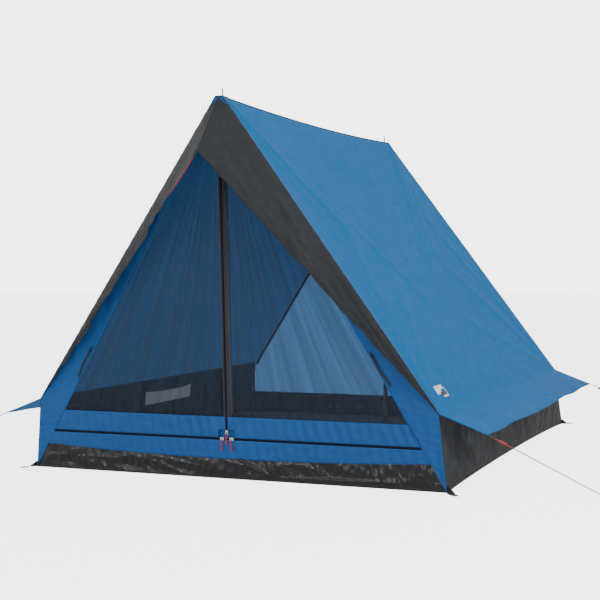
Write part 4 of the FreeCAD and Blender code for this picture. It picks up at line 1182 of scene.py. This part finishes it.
# ------------------------------------------------------------------ peg loops
# A black webbing loop is sewn to each corner of the floor, with a brass eyelet pressed in for its
# peg. The webbing is double, so its edges are round, and its outer end is cut round and sealed.
loop_width = 0.020
loop_length = 0.062
eyelet_neck = 0.005
eyelet_reach = loop_length - loop_width / 2
loop_thickness = 0.0016
loop_webbing = fabric("loop_webbing", (0.006, 0.006, 0.007), thread=0.002, unevenness=0.2, creases=0.2,
                      roughness=0.7, depth=0.0012, specular=0.25)
neck_reach = eyelet_reach - 0.009
deselect()
bpy.ops.mesh.primitive_cylinder_add(vertices=64, radius=loop_width / 2, depth=loop_thickness,
                                    location=(eyelet_reach, 0, loop_thickness / 2))
loop_end = bpy.context.object
loop_end.name = "peg_loop"
settle(loop_end)
bpy.ops.object.mode_set(mode="EDIT")
bpy.ops.mesh.select_mode(type="FACE")
bpy.ops.mesh.select_all(action="DESELECT")
bpy.ops.object.mode_set(mode="OBJECT")
for polygon in loop_end.data.polygons:
    polygon.select = abs(polygon.normal.z) > 0.9
bpy.ops.object.mode_set(mode="EDIT")
bpy.ops.mesh.inset(thickness=loop_width / 2 - eyelet_neck - 0.0001)
bpy.ops.mesh.bridge_edge_loops()
bpy.ops.mesh.select_mode(type="VERT")
bpy.ops.object.mode_set(mode="OBJECT")
rounding = loop_end.modifiers.new("rounding", "BEVEL")
rounding.width = 0.0004
rounding.segments = 2
rounding.limit_method = "ANGLE"
bpy.ops.object.modifier_apply(modifier="rounding")
loop_end.data.materials.append(loop_webbing)
for end, end_sign in (("front", -1), ("rear", 1)):
    for side_name, side in (("left", -1), ("right", 1)):
        outward = Vector((side, end_sign, 0)).normalized()
        sideways = Vector((-outward.y, outward.x, 0))
        corner = Vector((side * half_width, end_sign * half_length, 0)) + outward * 0.0003
        ring = loop_end.copy()
        ring.data = loop_end.data.copy()
        ring.name = "peg_loop_end_" + end + "_" + side_name
        bpy.context.scene.collection.objects.link(ring)
        ring.rotation_euler = (0, 0, math.atan2(end_sign, side))
        ring.location = corner
        settle(ring)

        def strap_at(across, along):
            twist = math.pi / 2 * (1 - min(along / 0.85, 1)) ** 1.4
            reach = -0.004 + along * (neck_reach + 0.007)
            wide = (across - 0.5) * loop_width
            lift = loop_thickness / 2 + math.sin(twist) * (loop_width / 2 + wide)
            return corner + outward * reach + sideways * (math.cos(twist) * wide) + Vector((0, 0, lift))

        strap = cloth("peg_loop_strap_" + end + "_" + side_name, 8, 26, strap_at, (loop_width, 0.050),
                      thickness=0.0015)
        strap.data.materials.append(loop_webbing)
        for piece in (ring, strap):
            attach(piece, "tent")
        if side > 0 and end == "front":
            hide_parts("corner_loops")
bpy.data.objects.remove(loop_end)

# ------------------------------------------------------------------ guyline tabs
# Each eave corner and the canopy's tip end in a tab of black tape, folded over and sewn through, so
# that the cord is tied in its fold.
tab_black = fabric("tab_black", (0.014, 0.014, 0.016), thread=0.0012, unevenness=0.2, creases=0.2,
                   roughness=0.7, depth=0.001, hem=(0.014, 0.022, 0.002, 0.004))


def folded_tab(name, start, end, root_width, tip_width, across_direction, swell_direction):
    """A tape doubled over: thin where it is sewn in, and rounder at its fold."""

    def tab_at(across, along):
        width = root_width + (tip_width - root_width) * along
        angle = across * 2 * math.pi
        half_height = 0.0006 + 0.0010 * along ** 3
        return (start + (end - start) * along + across_direction * (math.cos(angle) * width / 2)
                + swell_direction * (math.sin(angle) * half_height))

    tab = cloth(name, 20, 10, tab_at, (0.028, 0.022), thickness=0.0004)
    tab.data.materials.append(tab_black)
    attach(tab, "tent")
    return tab


for end, y in guyline_y.items():
    for side_name, side in (("left", -1), ("right", 1)):
        root = Vector((side * (eave_rim_x - 0.004), y, eave_rim_z + 0.001))
        tip = Vector((side * (eave_tab_end_x + 0.001), y, eave_tab_end_z))
        along = (tip - root).normalized()
        swell = Vector((-along.z * side, 0, along.x * side)).normalized()
        folded_tab("eave_tab_" + end + "_" + side_name, root, tip, 0.014, 0.0084, Vector((0, 1, 0)),
                   swell)
tip_tab = folded_tab("canopy_tab", canopy_tip + Vector((0, 0.002, 0.003)),
                     route[0] + Vector((0.001, 0.0, 0.001)), 0.010, 0.007, Vector((1, 0, 0)),
                     Vector((0, 0.89, -0.45)))
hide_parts("pull_out_tabs")

# ------------------------------------------------------------------ door ties
# A toggle and a strap on each blue strip hold a door half when it is rolled up to its side. The
# toggle is a turned black peg, tied in by a short elastic loop.
toggle_z = 0.434
toggle_radius = 0.0035
toggle_length = 0.030
tie_width = 0.008
tie_length = 0.115
tie_black = fabric("tie_black", (0.012, 0.012, 0.016), thread=0.0010, creases=0.2, roughness=0.65,
                   depth=0.001, hem=(tie_width, 0.09, 0.0015, 0.003))
for side_name, side in (("left", -1), ("right", 1)):
    down_slope = (on_front(side * half_width, 0) - on_front(0, ridge_z)).normalized()
    beside = down_slope.cross(front_out).normalized()
    centre = on_front(side * (door_edge_x(toggle_z) + 4 * toggle_radius), toggle_z) + front_out * 0.0058
    deselect()
    turned = down_slope.to_track_quat("Z", "Y").to_euler()
    bpy.ops.mesh.primitive_cylinder_add(vertices=20, radius=toggle_radius, depth=toggle_length,
                                        location=centre, rotation=turned)
    toggle = bpy.context.object
    toggle.name = "toggle_" + side_name
    bpy.ops.object.mode_set(mode="EDIT")
    bpy.ops.mesh.select_all(action="SELECT")
    bpy.ops.mesh.subdivide(number_cuts=4)
    bpy.ops.object.mode_set(mode="OBJECT")
    for vertex in toggle.data.vertices:
        share = abs(vertex.co.z) / (toggle_length / 2)
        waist = 0.72 + 0.28 * (share / 0.35) ** 2
        if share >= 0.35:
            waist = 1 - 0.45 * max(share - 0.75, 0) / 0.25
        vertex.co.x *= waist
        vertex.co.y *= waist
    settle(toggle)
    bpy.ops.object.shade_smooth_by_angle(angle=math.radians(50))
    toggle.data.materials.append(nylon)

    def tie_at(across, along):
        bend = 0.004 * math.sin(along * 5) * along
        middle = centre - front_out * 0.0034 + down_slope * (along * tie_length - 0.001)
        return (middle + beside * ((across - 0.5) * tie_width + bend)
                + front_out * (0.0016 * bow(across) + 0.006 * bow(along) * along))

    tie = cloth("door_tie_" + side_name, 6, 60, tie_at, (tie_width, tie_length), thickness=0.0006)
    tie.data.materials.append(tie_black)
    deselect()
    bpy.ops.mesh.primitive_torus_add(
        major_segments=28, minor_segments=8, major_radius=0.0052, minor_radius=0.0009,
        location=centre - front_out * 0.0012, rotation=turned)
    elastic = bpy.context.object
    elastic.name = "toggle_elastic_" + side_name
    settle(elastic)
    bpy.ops.object.shade_smooth()
    elastic.data.materials.append(tie_black)
    for piece in (toggle, tie, elastic):
        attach(piece, "tent")
    if side > 0:
        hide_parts("door_ties")

# ------------------------------------------------------------------ inside pocket
# A pale net pocket for small things is sewn low on the inside of the left wall. Its top edge is
# elastic, so it puckers and stands a little open.
# Painted light: the pale cloth carries an emission that keeps it light inside the tent.
pocket_white = fabric("pocket_white", (0.50, 0.49, 0.52), thread=0.0016, unevenness=0.1, creases=0.5,
                      roughness=0.7, depth=0.002, hem=(0.40, 0.058, 0.003, 0.006),
                      painted_glow=(0.16, 0.15, 0.17))
pocket_low, pocket_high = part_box("inner_pocket")


def pocket_at(across, along):
    y = pocket_low.y + across * (pocket_high.y - pocket_low.y)
    z = pocket_low.z + along * (pocket_high.z - pocket_low.z)
    stand = 0.0035 + 0.012 * along * bow(across) ** 0.5
    puckers = 0.0016 * math.sin(y * 220 + 3 * noise.noise(Vector((y * 12, 0, 6)))) * along ** 2
    return Vector((-(wall_x(z) - 0.007 - stand) + puckers, y, z - 0.006 * bow(across) * along))


pocket = cloth("pocket_cloth", 110, 12, pocket_at, (0.40, 0.058))
pocket.data.materials.append(pocket_white)
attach(pocket, "tent")
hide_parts("inner_pocket")

# ------------------------------------------------------------------ care patch
# A plain woven patch is sewn low on the right slope: pale, with a dark strip along its lower half,
# and a row of stitches round it. Nothing is written on it.
patch_white = fabric("patch_white", (0.68, 0.70, 0.72), thread=0.0009, creases=0.1, roughness=0.6,
                     depth=0.001, hem=(0.100, 0.046, 0.004, 0.004))
patch_dark = fabric("patch_dark", (0.02, 0.024, 0.03), thread=0.0009, creases=0.1, roughness=0.6,
                    depth=0.001)
label_low, label_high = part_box("roof_label")
slope_out = Vector((ridge_z - wall_top_z, 0, wall_top_x - ridge_half)).normalized()


def on_right_slope(y, z, out):
    return Vector((roof_x(z), y, z)) + slope_out * out


def patch_at(across, along):
    y = label_low.y + across * (label_high.y - label_low.y)
    z = label_low.z + along * (label_high.z - label_low.z)
    return on_right_slope(y, z, 0.0010 + 0.0006 * bow(across) * bow(along))


patch = cloth("care_patch", 24, 12, patch_at, (0.100, 0.046), thickness=0.0006)
patch.data.materials.append(patch_white)


def patch_strip_at(across, along):
    y = label_low.y + (0.30 + across * 0.62) * (label_high.y - label_low.y)
    z = label_low.z + (0.16 + along * 0.30) * (label_high.z - label_low.z)
    return on_right_slope(y, z, 0.0019 + 0.0004 * bow(across))


patch_strip = cloth("care_patch_strip", 16, 6, patch_strip_at, (0.062, 0.014), thickness=0.0004)
patch_strip.data.materials.append(patch_dark)
for piece in (patch, patch_strip):
    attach(piece, "tent")
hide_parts("roof_label")
